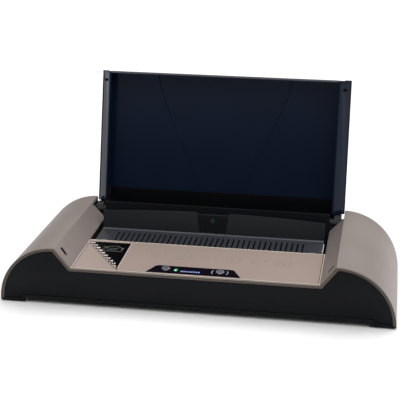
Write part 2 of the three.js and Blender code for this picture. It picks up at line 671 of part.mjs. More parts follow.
// A flanged socket with three pins.
function powerInlet() {
  const { x, z, halfX, halfZ } = INLET;
  const wall = 1.6;
  const pin = { halfX: 1, halfZ: 2, spots: [[-7, -1.5], [0, 2], [7, -1.5]] };
  const socket = block(
    x - halfX + wall, x + halfX - wall, 209, DEPTH + 3, z - halfZ + wall, z + halfZ - wall);
  const pins = pin.spots.map(([dx, dz]) => block(
    x + dx - pin.halfX, x + dx + pin.halfX, 208, DEPTH - 1, z + dz - pin.halfZ, z + dz + pin.halfZ));
  return join(cut(flanged(INLET, 204), socket), ...pins);
}

// A body through the rear panel, with a flange over the edge of its hole.
function flanged({ x, z, halfX, halfZ }, front) {
  const lip = 2;
  const body = block(x - halfX, x + halfX, front, DEPTH + 1, z - halfZ, z + halfZ);
  const flange = block(x - halfX - lip, x + halfX + lip, DEPTH + GAP, DEPTH + 1.8,
    z - halfZ - lip, z + halfZ + lip);
  return body.add(flange);
}

function rockerHousing() {
  const { x, z } = ROCKER;
  const well = block(x - 8, x + 8, 211, DEPTH + 3, z - 6, z + 6);
  return cut(flanged(ROCKER, 206), well);
}

// Drawn round its axle: a paddle whose two faces meet at a shallow angle.
function rockerPaddle() {
  const outline = [[-6, -2.2], [-6, 2.2], [1.6, 5.3], [4.4, 5.1], [2.9, 0], [3.2, -5.1], [1.6, -5.3]];
  return solid(prism(outline, "x", -7.5, 7.5));
}

// ---- Assembly ----
function finish(color, roughness, metalness = 0) {
  return new THREE.MeshStandardMaterial({ color, roughness, metalness });
}

function add(parent, name, body, material) {
  const mesh = body.getMesh();
  const geometry = new THREE.BufferGeometry();
  geometry.setAttribute("position", new THREE.BufferAttribute(mesh.vertProperties, 3));
  geometry.setIndex(new THREE.BufferAttribute(mesh.triVerts, 1));
  geometry.computeVertexNormals();
  const piece = new THREE.Mesh(geometry, material);
  piece.name = name;
  parent.add(piece);
  return piece;
}

function group(parent, x, y, z, tilt = 0) {
  const made = new THREE.Group();
  made.position.set(x, y, z);
  made.rotation.x = tilt;
  parent.add(made);
  return made;
}

const SIDES = [["left", -1], ["right", 1]];
const lidRear = HINGE_Y + LID_BACK * Math.cos(OPEN_TILT) + LID_END * Math.sin(OPEN_TILT);
const machineMiddle = (lidRear - FRONT_LEAN * CREST_Z) / 2;

const wholeMachine = new THREE.Group();
const machine = group(wholeMachine, 0, -machineMiddle, 0);
const deck = group(machine, 0, 0, DECK_Y0_Z, DECK_ANGLE);
const clampFace = group(deck, 0, CLAMP_Y, PLATE_TOP, -CLAMP_LEAN);
const lid = group(machine, 0, HINGE_Y, HINGE_Z, -OPEN_TILT);
const rocker = group(machine, ROCKER.x, ROCKER.y, ROCKER.z, THREE.MathUtils.degToRad(-9));

add(machine, "base_tray", baseTray(), finish(0x1b1c1e, 0.6));
add(machine, "front_trim", frontTrim(), finish(0x5a534d, 0.35, 0.4));
add(machine, "front_panel", frontPanel(), finish(0x16181c, 0.45));
add(machine, "rear_panel", rearPanel(), finish(0x1b1c1e, 0.6));
add(machine, "rear_top_cover", rearTopCover(), finish(0x17181b, 0.55));
add(machine, "slot_rear_wall", slotRearWall(), finish(0x141518, 0.55));
add(machine, "heater_plate", heaterPlate(), finish(0xb8bbbf, 0.4, 0.9));
add(machine, "heater_element", heaterElement(), finish(0x8a6b43, 0.7));
add(machine, "thermal_fuse", thermalFuse(), finish(0xd8d8d4, 0.4, 0.6));
add(machine, "temperature_sensor", temperatureSensor(), finish(0x262626, 0.5));
add(machine, "power_board", powerBoard(), finish(0x2f6b46, 0.5));
add(machine, "supply_transformer", supplyTransformer(), finish(0xc9a24a, 0.5));
add(machine, "beeper", beeper(), finish(0x101112, 0.5));
add(machine, "ribbon_cable", ribbonCable(), finish(0xb9bcc0, 0.6));
add(machine, "heater_lead", heaterLead(), finish(0xb03a2e, 0.6));
add(machine, "power_inlet", powerInlet(), finish(0x0e0f10, 0.5));
add(machine, "rocker_housing", rockerHousing(), finish(0x0e0f10, 0.5));
add(rocker, "rocker_paddle", rockerPaddle(), finish(0x16171a, 0.4));

for (const [name, side] of SIDES) {
  add(machine, `wing_cover_${name}`, wingCover(side), finish(0x9a918a, 0.38, 0.35));
  add(machine, `hinge_housing_${name}`, hingeHousing(side), finish(0x15161a, 0.5));
  add(machine, `hinge_pin_${name}`, hingePin(side), finish(0xc5c7ca, 0.3, 1));
  add(machine, `lid_stop_${name}`, lidStop(side), finish(0x1a1a1a, 0.85));
  add(machine, `heater_support_${name}`, heaterSupport(side), finish(0xe4e0d6, 0.6));
  add(deck, `clamp_rail_${name}`, clampRail(side), finish(0xa9adb2, 0.35, 0.9));
  add(deck, `clamp_shoe_${name}`, clampShoe(side), finish(0xe6e6e2, 0.5));
  add(lid, `lid_arm_${name}`, lidArm(side), finish(0x6d6f74, 0.4, 0.6));
  add(lid, `lid_latch_${name}`, lidLatch(side), finish(0x1a1b1e, 0.5));
}
RUBBER_FEET.forEach((at, i) => add(machine, `rubber_foot_${i + 1}`, rubberFoot(at), finish(0x1a1a1a, 0.9)));
BASE_SCREWS.forEach((at, i) => add(machine, `base_screw_${i + 1}`, baseScrew(at), finish(0xb5b7ba, 0.35, 1)));

add(deck, "front_deck", frontDeck(), finish(0xb3a394, 0.2, 0.3));
add(deck, "deck_frame", deckFrame(), finish(0x1b1c1e, 0.6));
add(deck, "thickness_gauge", thicknessGauge(), finish(0x060607, 0.35));
add(deck, "control_overlay", controlOverlay(), finish(0x140a1a, 0.2));
add(deck, "control_board", controlBoard(), finish(0x2f6b46, 0.5));
add(deck, "status_light", statusLight(), finish(0x6fdca0, 0.3));
add(deck, "progress_light_bar", progressLightBar(), finish(0x4f7fe0, 0.3));
add(deck, "power_tact_switch", tactSwitch(POWER_BUTTON), finish(0x101112, 0.5));
add(deck, "start_tact_switch", tactSwitch(START_BUTTON), finish(0x101112, 0.5));
add(deck, "power_button", pushButton(POWER_BUTTON), finish(0xb0b0bc, 0.35, 0.5));
add(deck, "start_button", pushButton(START_BUTTON), finish(0xb0b0bc, 0.35, 0.5));
add(deck, "clamp_plate", clampPlate(), finish(0x3a3b42, 0.4, 0.2));
add(clampFace, "clamp_wall", clampWall(), finish(0x1f2226, 0.45));
add(clampFace, "clamp_grip", clampGrip(), finish(0x0b0d0f, 0.6));

add(lid, "lid_shell", lidShell(), finish(0x151a26, 0.12));
add(lid, "lid_hinge_bar", lidHingeBar(), finish(0x0c0d10, 0.4));

export default wholeMachine;
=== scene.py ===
import json
import math
import bmesh
import bpy
from mathutils import Matrix, Vector


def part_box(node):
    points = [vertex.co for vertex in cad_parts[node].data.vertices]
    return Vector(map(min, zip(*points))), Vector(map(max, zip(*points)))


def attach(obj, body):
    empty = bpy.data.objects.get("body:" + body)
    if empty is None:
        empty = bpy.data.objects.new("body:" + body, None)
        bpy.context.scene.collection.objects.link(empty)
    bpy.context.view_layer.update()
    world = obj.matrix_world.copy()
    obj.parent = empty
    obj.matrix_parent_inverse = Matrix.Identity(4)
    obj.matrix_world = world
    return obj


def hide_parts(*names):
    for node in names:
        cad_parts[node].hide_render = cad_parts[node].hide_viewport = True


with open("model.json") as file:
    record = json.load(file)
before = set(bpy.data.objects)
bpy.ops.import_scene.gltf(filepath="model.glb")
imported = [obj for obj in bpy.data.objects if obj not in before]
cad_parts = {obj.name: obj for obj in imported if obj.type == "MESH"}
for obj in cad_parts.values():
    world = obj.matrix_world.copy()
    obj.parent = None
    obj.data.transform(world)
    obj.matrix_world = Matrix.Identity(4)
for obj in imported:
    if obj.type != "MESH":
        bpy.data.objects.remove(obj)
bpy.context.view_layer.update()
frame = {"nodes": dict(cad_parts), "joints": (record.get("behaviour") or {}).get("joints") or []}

# ---- Where the machine stands ----
# A thermal binding machine, 530 mm wide and 224.4 mm deep from the foot of its front panel to its back.
# It stands on its rubber feet, and its front face comes forward a little as it rises.
MM = 0.001
machine_depth = 224.4 * MM
back_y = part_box("wing_cover_left")[1].y
foot_y = back_y - machine_depth
lean = 0.18  # forward for each unit of height


# ---- Camera ----
# It stands in front of the machine, a little to its right and above, with a long lens.
# Its place is given from the foot of the front panel, and it is rolled by less than a degree.
def add_object(name, data):
    """A new object in the scene."""
    made = bpy.data.objects.new(name, data)
    bpy.context.scene.collection.objects.link(made)
    return made


camera_data = bpy.data.cameras.new("camera")
camera_data.lens = 106.0
camera_data.sensor_width = 36.0
camera = add_object("camera", camera_data)
camera_place = (0.2374, foot_y - 1.4201, 0.6116)
azimuth, elevation, roll = math.radians(9.22), math.radians(17.45), math.radians(0.61)
towards = Vector((math.sin(azimuth) * math.cos(elevation), -math.cos(azimuth) * math.cos(elevation),
                  math.sin(elevation)))
level = (-towards).cross(Vector((0, 0, 1))).normalized()
upright = level.cross(-towards)
right = level * math.cos(roll) + upright * math.sin(roll)
up = upright * math.cos(roll) - level * math.sin(roll)
camera.matrix_world = Matrix.Translation(camera_place) @ Matrix((right, up, towards)).transposed().to_4x4()
bpy.context.scene.camera = camera


# ---- Studio ----
# A pale floor that runs on to a white backdrop far behind, and a dim white room that is brighter above.
# A broad soft ceiling light gives the shade under the machine, and a softbox on the left a faint gloss.
def place(tree, kind, ins=None, **settings):
    """Adds one node to a tree. ins gives each socket a value, another node's output, or a node, which
    stands for its own first output."""
    made = tree.nodes.new(kind)
    for key, value in settings.items():
        setattr(made, key, value)
    for key, value in (ins or {}).items():
        value = value.outputs[0] if isinstance(value, bpy.types.Node) else value
        if isinstance(value, bpy.types.NodeSocket):
            tree.links.new(value, made.inputs[key])
        else:
            made.inputs[key].default_value = value
    return made


def colour(code, alpha=1.0):
    """An sRGB hex value as linear colour."""
    parts = [int(code[i:i + 2], 16) / 255 for i in (1, 3, 5)]
    linear = [p / 12.92 if p <= 0.04045 else ((p + 0.055) / 1.055) ** 2.4 for p in parts]
    return (*linear, alpha)


def new_material(name):
    """A material and its empty tree."""
    made = bpy.data.materials.new(name)
    made.use_nodes = True
    made.node_tree.nodes.clear()
    return made, made.node_tree


world = bpy.data.worlds.new("white_room")
world.use_nodes = True
world.node_tree.nodes.clear()
sky = place(world.node_tree, "ShaderNodeTexCoord")
height = place(world.node_tree, "ShaderNodeSeparateXYZ", {0: sky.outputs["Generated"]})
fade = place(world.node_tree, "ShaderNodeMapRange", {"Value": height.outputs["Z"], "To Min": 0.1,
                                                     "To Max": 0.5})
room = place(world.node_tree, "ShaderNodeBackground", {"Color": colour("#FFFFFF"), "Strength": fade})
place(world.node_tree, "ShaderNodeOutputWorld", {"Surface": room})
bpy.context.scene.world = world
bpy.context.scene.view_settings.view_transform = "Standard"

floor_mesh = bpy.data.meshes.new("floor")
floor_mesh.from_pydata([(-40, -40, 0), (40, -40, 0), (40, 40, 0), (-40, 40, 0)], [], [(0, 1, 2, 3)])
# Matt background paper: an even pale grey with the faintest clouding.
paper, tree = new_material("pale_paper")
fibres = place(tree, "ShaderNodeTexNoise", {"Scale": 3.0, "Detail": 3.0})
tone = place(tree, "ShaderNodeMix", {0: fibres, 6: colour("#F4F4F4"), 7: colour("#F8F8F8")},
             data_type="RGBA")
sheet = place(tree, "ShaderNodeBsdfPrincipled", {"Base Color": tone.outputs[2], "Roughness": 0.9})
place(tree, "ShaderNodeOutputMaterial", {0: sheet})
floor_mesh.materials.append(paper)
add_object("floor", floor_mesh)

ring_sides, ring_radius, ring_height = 72, 30, 14
ring = [math.radians(360 / ring_sides * i) for i in range(ring_sides)]
backdrop_mesh = bpy.data.meshes.new("backdrop")
backdrop_mesh.from_pydata(
    [(ring_radius * math.cos(a), ring_radius * math.sin(a), z) for z in (0, ring_height) for a in ring], [],
    [((i + 1) % ring_sides, i, i + ring_sides, (i + 1) % ring_sides + ring_sides) for i in range(ring_sides)])
# White cloth lit from behind: it closes the horizon and sheds no light on the machine.
cloth, tree = new_material("lit_white_cloth")
weave = place(tree, "ShaderNodeTexNoise", {"Scale": 3.0, "Detail": 3.0})
glow = place(tree, "ShaderNodeMix", {0: weave, 6: colour("#FCFCFC"), 7: colour("#FFFFFF")},
             data_type="RGBA")
lamp_cloth = place(tree, "ShaderNodeEmission", {"Color": glow.outputs[2], "Strength": 1.0})
place(tree, "ShaderNodeOutputMaterial", {0: lamp_cloth})
backdrop_mesh.materials.append(cloth)
backdrop = add_object("backdrop", backdrop_mesh)
backdrop.visible_diffuse = backdrop.visible_glossy = backdrop.visible_shadow = False

ceiling_data = bpy.data.lights.new("ceiling", "SUN")
ceiling_data.energy = 3.1
ceiling_data.angle = math.radians(100)
ceiling = add_object("ceiling", ceiling_data)
ceiling.rotation_euler = (math.radians(4), math.radians(16), 0)

left_box_data = bpy.data.lights.new("left_box", "AREA")
left_box_data.shape = "RECTANGLE"
left_box_data.size, left_box_data.size_y = 0.8, 1.2
left_box_data.energy = 0.8
left_box_data.color = colour("#FFFDFA")[:3]
left_box = add_object("left_box", left_box_data)
left_box.location = (-1.9, -0.2, 0.7)
left_box.rotation_euler = (Vector((-0.1, 0, 0.05)) - left_box.location).to_track_quat("-Z", "Y").to_euler()


# ---- Base tray ----
# The black tray that carries everything, moulded in ABS with a fine spark texture.
# The wings, the panels and the hinges are screwed or clipped to it.
def grained(name, code, roughness, grain=0.6, depth=0.25, fleck=0.06, specular=0.25):
    """A moulded or fired surface: a slightly uneven colour over a fine even texture that breaks up its shine.
    The grain, in mm, is drawn coarser than the real 0.1 mm, so that it shows."""
    made, tree = new_material(name)
    where = place(tree, "ShaderNodeTexCoord").outputs["Object"]
    spark = place(tree, "ShaderNodeTexNoise", {"Vector": where, "Scale": 1 / (grain * MM), "Detail": 3.0,
                                               "Roughness": 0.6})
    cloud = place(tree, "ShaderNodeTexNoise", {"Vector": where, "Scale": 18.0, "Detail": 2.0})  # 55 mm
    base = colour(code)
    lighter = tuple(min(1.0, c * (1 + fleck) + 0.002) for c in base[:3]) + (1.0,)
    tint = place(tree, "ShaderNodeMix", {0: cloud, 6: base, 7: lighter}, data_type="RGBA")
    shine = place(tree, "ShaderNodeMapRange", {"Value": spark, "To Min": roughness - 0.05,
                                               "To Max": roughness + 0.07})
    relief = place(tree, "ShaderNodeBump", {"Strength": depth, "Distance": 0.08 * MM,
                                            "Height": spark})
    skin = place(tree, "ShaderNodeBsdfPrincipled", {
        "Base Color": tint.outputs[2], "Roughness": shine, "Normal": relief, "IOR": 1.52,
        "Specular IOR Level": specular})
    place(tree, "ShaderNodeOutputMaterial", {0: skin})
    return made


def mesh_from(shape, name):
    """A bmesh written out as a mesh."""
    mesh = bpy.data.meshes.new(name)
    shape.to_mesh(mesh)
    shape.free()
    return mesh


def bare_mesh(node, whole_faces=True):
    """A copy of a CAD node's mesh with its doubled points merged and its flat faces whole again."""
    shape = bmesh.new()
    shape.from_mesh(frame["nodes"][node].data)
    bmesh.ops.remove_doubles(shape, verts=shape.verts, dist=2e-6)
    if whole_faces:
        bmesh.ops.dissolve_limit(shape, angle_limit=math.radians(0.4), verts=shape.verts, edges=shape.edges)
    return mesh_from(shape, node)


def made_plain(piece):
    """The plain mesh that an object's modifiers or letters make."""
    bpy.context.view_layer.update()
    return bpy.data.meshes.new_from_object(piece.evaluated_get(bpy.context.evaluated_depsgraph_get()))


def finish_piece(name, mesh, material, body, stands_for=(), edge=0.0, segments=2, cutters=(),
                 smooth=None):
    """Cuts a piece, rounds its edges by some mm, gives it its material and puts it on its body.
    A rounded edge's first facet stays sharp, so that the flat faces beside it stay flat."""
    piece = add_object(name, mesh)
    for number, cutter in enumerate(cutters):
        cut = piece.modifiers.new(f"cut_{number}", "BOOLEAN")
        cut.operation = "DIFFERENCE"
        cut.solver = "EXACT"
        cut.object = cutter
    if edge:
        bevel = piece.modifiers.new("edges", "BEVEL")
        bevel.width = edge * MM
        bevel.segments = segments
        bevel.limit_method = "ANGLE"
        bevel.angle_limit = math.radians(30)
    plain = made_plain(piece)
    piece.modifiers.clear()
    piece.data = plain
    plain.materials.clear()
    plain.materials.append(material)
    plain.polygons.foreach_set("material_index", [0] * len(plain.polygons))
    plain.polygons.foreach_set("use_smooth", [True] * len(plain.polygons))
    sharp_from = smooth or (min(35, 42 / segments) if edge else 35)
    plain.set_sharp_from_angle(angle=math.radians(sharp_from))
    for cutter in cutters:
        bpy.data.objects.remove(cutter)
    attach(piece, body)
    if stands_for:
        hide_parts(*stands_for)


def carry_over(node, material, body, edge=0.4, segments=2, cutters=()):
    """Finishes a CAD node in its own shape, with its edges rounded."""
    finish_piece(node, bare_mesh(node), material, body, [node], edge, segments, cutters)


# Spark-textured ABS: a deep grey-black with a soft, broken shine.
base_black = grained("textured_black_abs", "#17181A", 0.55)
carry_over("base_tray", base_black, "base")


# ---- Wings ----
# Two arched side covers, moulded in ABS and sprayed in a warm silver paint, clipped over the tray's ends.
# Each has a slot in its inner slope, with a cup behind it whose black is painted shade, that takes one of the
# lid's latches.
def metallic_paint(name, code, shadow, roughness, metallic, coat, flake=0.5, specular=0.5):
    """Satin metallic lacquer: small flakes vary its brightness, and a clear coat softens them.
    The flakes, in mm, are drawn coarser than the real 0.05 mm, so that they show."""
    made, tree = new_material(name)
    where = place(tree, "ShaderNodeTexCoord").outputs["Object"]
    flakes = place(tree, "ShaderNodeTexVoronoi", {"Vector": where, "Scale": 1 / (flake * MM)})
    drift = place(tree, "ShaderNodeTexNoise", {"Vector": where, "Scale": 9.0, "Detail": 2.0})  # spray passes
    peel = place(tree, "ShaderNodeTexNoise", {"Vector": where, "Scale": 420.0, "Detail": 1.0})  # 2.4 mm waves
    glint = place(tree, "ShaderNodeMapRange", {"Value": flakes.outputs["Color"], "To Min": 0.0,
                                               "To Max": 0.35})
    mixed = place(tree, "ShaderNodeMath", {0: glint, 1: drift}, operation="ADD")
    tint = place(tree, "ShaderNodeMix", {0: mixed, 6: colour(shadow), 7: colour(code)},
                 data_type="RGBA", clamp_factor=True)
    shine = place(tree, "ShaderNodeMapRange", {"Value": flakes.outputs["Color"], "To Min": roughness - 0.05,
                                               "To Max": roughness + 0.05})
    relief = place(tree, "ShaderNodeBump", {"Strength": 0.12, "Distance": 0.1 * MM, "Height": peel})
    skin = place(tree, "ShaderNodeBsdfPrincipled", {
        "Base Color": tint.outputs[2], "Roughness": shine, "Normal": relief,
        "Metallic": metallic, "Coat Weight": coat, "Coat Roughness": 0.18, "Specular IOR Level": specular})
    place(tree, "ShaderNodeOutputMaterial", {0: skin})
    return made


crest_x, crest_z, half_width = 185 * MM, 85 * MM, 265 * MM
deck_half, deck_z = 165 * MM, 57 * MM  # where the wing's inner slope meets the deck
deck_rise = 0.0411  # the deck climbs by this much towards the back
slope_run = (crest_x - deck_half) / (crest_z - deck_z)
slope_across, slope_up = 0.581, 0.814  # the inner slope's direction, seen from the front
wall = 2.5 * MM
floor_z, skirt_z = 1.5 * MM, 30 * MM
foot_x, foot_top = half_width - 34.7 * MM, floor_z + 6.7 * MM
inner_foot = deck_z - (wall * math.hypot(1, slope_run) - wall) / slope_run


def slope_shift(inset):
    """How far an inset moves the ends of the wing's inner slope outwards."""
    return inset * (math.hypot(1, slope_run) - slope_run)


def wing_arc(inset, bottom, steps=48):
    """The wing's back from its crest out and down to its foot, a quarter ellipse."""
    middle = crest_x + slope_shift(inset)
    across, high = half_width - inset - middle, crest_z - inset
    lowest = math.asin(bottom / high)
    angles = [math.pi / 2 - i / steps * (math.pi / 2 - lowest) for i in range(steps + 1)]
    return [(middle + across * math.cos(a), high * math.sin(a)) for a in angles]


def skin_between(name, rings):
    """A closed mesh through rings of points, with a face over each end."""
    shape = bmesh.new()
    rows = [[shape.verts.new(point) for point in ring] for ring in rings]
    for low, high in zip(rows, rows[1:]):
        for i in range(len(low)):
            j = (i + 1) % len(low)
            shape.faces.new((low[i], low[j], high[j], high[i]))
    shape.faces.new(rows[0])
    shape.faces.new(list(reversed(rows[-1])))
    bmesh.ops.recalc_face_normals(shape, faces=shape.faces)
    return mesh_from(shape, name)


def cutter_box(low, high, turn=Matrix.Identity(4)):
    """A box between two corners that is only used to cut with."""
    corners = [(x, y, z) for z in (low[2], high[2]) for x, y in
               ((low[0], low[1]), (high[0], low[1]), (high[0], high[1]), (low[0], high[1]))]
    mesh = skin_between("cutter", [corners[:4], corners[4:]])
    mesh.transform(turn)
    return add_object("cutter", mesh)


def side_cutter(side, near, far, y0, y1, z0, z1):
    """A cutter on one side of the machine, given in mm from its middle and from its front foot."""
    xs = sorted((side * near * MM, side * far * MM))
    return cutter_box((xs[0], foot_y + y0 * MM, z0 * MM), (xs[1], foot_y + y1 * MM, z1 * MM))


def on_slope(side, u, y, depth):
    """A point in mm on a wing's inner slope: u up it from its foot, and a depth under its face."""
    return Vector((side * (deck_half + (slope_across * u + slope_up * depth) * MM), foot_y + y * MM,
                   deck_z + (slope_up * u - slope_across * depth) * MM))


# Sprayed silver with a warm cast: satin, with a fine sparkle and no sharp reflections.
wing_paint = metallic_paint("warm_silver_paint", "#968C88", "#7E7471", 0.42, 0.2, 0.0, specular=0.12)
# Near-black ABS behind each latch slot: its colour is painted shade, so that the slot reads as a hole.
painted_shade_black = grained("painted_shade_black_abs", "#040405", 0.8, 0.8, 0.2, 0.05, 0.03)
wing_section = (
    [(deck_half, skirt_z), (deck_half, deck_z)] + wing_arc(0, floor_z)
    + [(foot_x, floor_z), (foot_x, foot_top), (foot_x + wall, foot_top), (foot_x + wall, floor_z + wall)]
    + wing_arc(wall, floor_z + wall)[::-1]
    + [(deck_half + wall, inner_foot), (deck_half + wall, skirt_z)])
cup_inside, cup_outside = (15.5, 26.9, 4.4, 9.6), (14.9, 27.5, 3.8, 10.2)  # up the slope, and front to back
cup_rings = ((cup_inside, 4.2), (cup_inside, 0.2), (cup_outside, 0.2), (cup_outside, 5.0))

for side, name in ((-1, "left"), (1, "right")):
    front, rear = [], []
    for x, z in wing_section:
        front.append((side * x, foot_y + 3.3 * MM - lean * z, z))
        drop = min(1.0, max(0.0, (crest_z - wall - z) / (crest_z - wall - deck_z)))
        climb = drop * deck_rise * machine_depth if x < crest_x + wall else 0.0
        rear.append((side * x, back_y, z + climb))
    hinge_bay = side_cutter(side, 160, 184.7, 187.5, 230, 20, 90)
    panel_notch = side_cutter(side, 160, 167.8, -20, 8, 29, 53)
    latch_slot = side_cutter(side, 170, 183, 3.7, 10.3, 69.0, 79.5)
    cover = skin_between("wing_cover", [front, rear])
    finish_piece(f"wing_cover_{name}", cover, wing_paint, "base", [f"wing_cover_{name}"],
                 0.7, 3, [hinge_bay, panel_notch, latch_slot])
    cup = [[on_slope(side, u, y, depth) for u, y in ((u0, y0), (u1, y0), (u1, y1), (u0, y1))]
           for (u0, u1, y0, y1), depth in cup_rings]
    finish_piece(f"latch_well_{name}", skin_between("latch_well", cup), painted_shade_black, "base")


# ---- Front trim and panel ----
# A bronze-painted rim over the top and down to the feet, with its face falling away inwards, and a black
# sill between the feet. A satin black ABS panel is let into both from behind.
def front_outline(inset, depth):
    """The machine's outline from the front, drawn in by an inset, on the leaning plane at a depth."""
    bottom = floor_z + inset
    right_half = [(deck_half + slope_shift(inset), deck_z - inset)] + wing_arc(inset, bottom)
    right_half += [(foot_x + inset, bottom), (foot_x + inset, 6.8 * MM + inset)]
    both = right_half + [(-x, z) for x, z in reversed(right_half)]
    return [(x, foot_y + depth - lean * z, z) for x, z in both]


def across_front(profile):
    """A profile of inset and depth in mm, set at each corner of the front outline."""
    return list(zip(*[front_outline(i * MM, d * MM) for i, d in profile]))


# Bronze lacquer: dark and a little metallic, with a soft highlight along its rounded face.
trim_paint = metallic_paint("bronze_paint", "#554C46", "#403934", 0.36, 0.45, 0.1)
# The same rim's outer lip, painted paler: a painted highlight along the rim's edge.
lip_highlight_paint = metallic_paint("painted_highlight_bronze_lip", "#7F756C", "#6E655D", 0.38, 0.3, 0.1)
# Fine-textured ABS, nearly black with a cold cast and a dull shine.
panel_black = grained("satin_black_abs", "#0B0C10", 0.36, 0.7, 0.2, 0.06, 0.09)
lip_rings = across_front([(0, 3.0), (0, 0.9), (0.1, 0.4), (0.3, 0.1), (0.6, 0.0), (0.8, 0.15), (0.85, 0.5),
                          (0.85, 3.0)])
trim_rings = across_front([(0.9, 3.0), (0.9, 1.3), (1.5, 1.2), (1.7, 0.6), (2.2, 0.35), (4.0, 0.6),
                           (4.7, 1.1), (5.0, 1.6), (5.0, 3.0)])
sill_rings = across_front([(0, 3.0), (0, 1.2), (0.5, 0.25), (1.0, 0.1), (3.9, 0.5), (4.7, 1.1), (5.0, 1.6),
                           (5.0, 3.0)])
foot_end = len(trim_rings) // 2 - 3  # the corner where the rim ends and the sill begins
for name, rings, paint in (("front_trim_lip", lip_rings, lip_highlight_paint), ("front_trim", trim_rings, trim_paint)):
    over_the_top = rings[-foot_end - 1:] + rings[:foot_end + 1]
    finish_piece(name, skin_between(name, over_the_top), paint, "base", ["front_trim"])
finish_piece("front_sill", skin_between("front_sill", sill_rings[foot_end:-foot_end]), panel_black, "base",
             ["front_trim"])
panel_profile = [(5.9, 1.5), (5.4, 1.75), (5.3, 2.2), (5.3, 3.3), (2.8, 3.3), (2.8, 5.8)]
panel = skin_between("front_panel", [front_outline(i * MM, d * MM) for i, d in panel_profile])
finish_piece("front_panel", panel, panel_black, "base", ["front_panel"])


# ---- Control deck ----
# A sloping moulded plate in glossy champagne lacquer between the wings, snapped on to the deck frame.
# It has pockets for the control film and the gauge, and holes for the buttons and the lights.
deck_tilt = math.atan(deck_rise)
deck_turn = Matrix.Translation((0, foot_y, 57.43 * MM)) @ Matrix.Rotation(deck_tilt, 4, "X")


def on_deck(x, y, z=0.0):
    """A point in mm on the deck's own slope as a point of the machine."""
    return deck_turn @ Vector((x * MM, y * MM, z * MM))


def deck_slab(name, outline, z0, z1):
    """An outline in mm on the deck, made solid between two heights above it."""
    return skin_between(name, [[on_deck(x, y, z) for x, y in outline] for z in (z0, z1)])


def deck_cutter(outline, z0, z1):
    """An outline in mm on the deck as a cutter."""
    return add_object("cutter", deck_slab("cutter", outline, z0, z1))


def arc(x, y, radius_x, radius_y, start, end, steps=10):
    """Points along part of an ellipse, with its angles in degrees."""
    angles = [math.radians(start + (end - start) * i / steps) for i in range(steps + 1)]
    return [(x + radius_x * math.cos(a), y + radius_y * math.sin(a)) for a in angles]


def overlay_outline(grow=0.0):
    """The control film's outline: straight at the front, its two rear corners round."""
    back, front, corner = 21 + grow, -3 - grow, 6
    left_bend = arc(-55.5 + corner - grow, back - corner, corner, corner, 158, 90, 8)
    right_bend = arc(51.8 - corner + grow, back - corner, corner, corner, 90, 22, 8)
    return [(-64 - grow, front)] + left_bend + right_bend + [(61.7 + grow, front)]


gauge_right, gauge_left, gauge_front, gauge_back, gauge_steps = -104, -160, 4, 89.5, 10
step_x = (gauge_right - gauge_left) / gauge_steps
step_y = (gauge_back - gauge_front) / gauge_steps


def gauge_outline(grow=0.0):
    """The gauge's outline: a right triangle whose long side is a flight of steps."""
    flight = []
    for i in range(gauge_steps):
        y = gauge_front + i * step_y - grow
        flight += [(gauge_right - i * step_x - grow * (i > 0), y), (gauge_right - (i + 1) * step_x - grow, y)]
    flight[0] = (gauge_right + grow, flight[0][1])
    return flight + [(gauge_left - grow, gauge_back + grow), (gauge_right + grow, gauge_back + grow)]


power_x, start_x, button_y = -39.6, 32.7, 8.8


def cap_outline(x, inset=0.0):
    """A button from above: a wide round back, and straight sides to a blunt tip at the front."""
    back_radius, tip_radius, apart = 5.6 - inset, 1.6 - inset, 6.0
    touch = math.degrees(math.asin((back_radius - tip_radius) / apart))
    back_bend = arc(x, button_y + apart / 2, back_radius, back_radius, -touch, 180 + touch, 28)
    return back_bend + arc(x, button_y - apart / 2, tip_radius, tip_radius, 180 + touch, 360 - touch, 8)


def button_cutters():
    """Cutters for the two buttons' holes, 0.3 mm wider than the caps."""
    return [deck_cutter(cap_outline(x, -0.3), -6, 3) for x in (power_x, start_x)]


# Champagne lacquer over ABS: warm and pale, a little metallic under a clear coat.
deck_paint = metallic_paint("champagne_lacquer", "#B3A197", "#9F8E85", 0.34, 0.25, 0.35, 0.4)
deck_section = ([(-6.8, -2.5)] + arc(-5.6, -1.2, 1.2, 1.2, 180, 90, 6) + arc(95.6, -1.0, 1.0, 1.0, 90, 0, 6)
                + [(96.6, -2.5)])
deck_ends = (-164.6, 164.6)
deck_plate = skin_between("front_deck", [[on_deck(x, y, z) for y, z in deck_section] for x in deck_ends])
light_holes = [(-25.9, 8.3, 1.6)] + [(-18.4 + 3.39 * i, 5, 1.2) for i in range(8)]
deck_cutters = [deck_cutter(outline, -0.8, 2) for outline in (overlay_outline(0.3), gauge_outline(0.3))]
deck_cutters += button_cutters()
deck_cutters += [deck_cutter(arc(x, y, r, r, 0, 345, 23), -6, 3) for x, y, r in light_holes]
finish_piece("front_deck", deck_plate, deck_paint, "base", ["front_deck"], 0.2, 2, deck_cutters,
             smooth=5)

# Unpainted black ABS lines the wings' skirts beside the slot, matt and dark; this dark sheet is also painted
# shade for the gap beside the plate.
skirt_black_and_gap_shade = grained("skirt_black_and_gap_shade_abs", "#0C0D0E", 0.6, 0.8, 0.3, 0.05, 0.12)
skirt, skirt_faces = [(97.5, -14), (97.5, -0.7), (180, -0.7), (180, -14)], (164.35, 164.9)
for side, name in ((-1, "left"), (1, "right")):
    lining = skin_between("skirt_lining", [[on_deck(side * x, y, z) for y, z in skirt] for x in skirt_faces])
    finish_piece(f"skirt_lining_{name}", lining, skirt_black_and_gap_shade, "base")
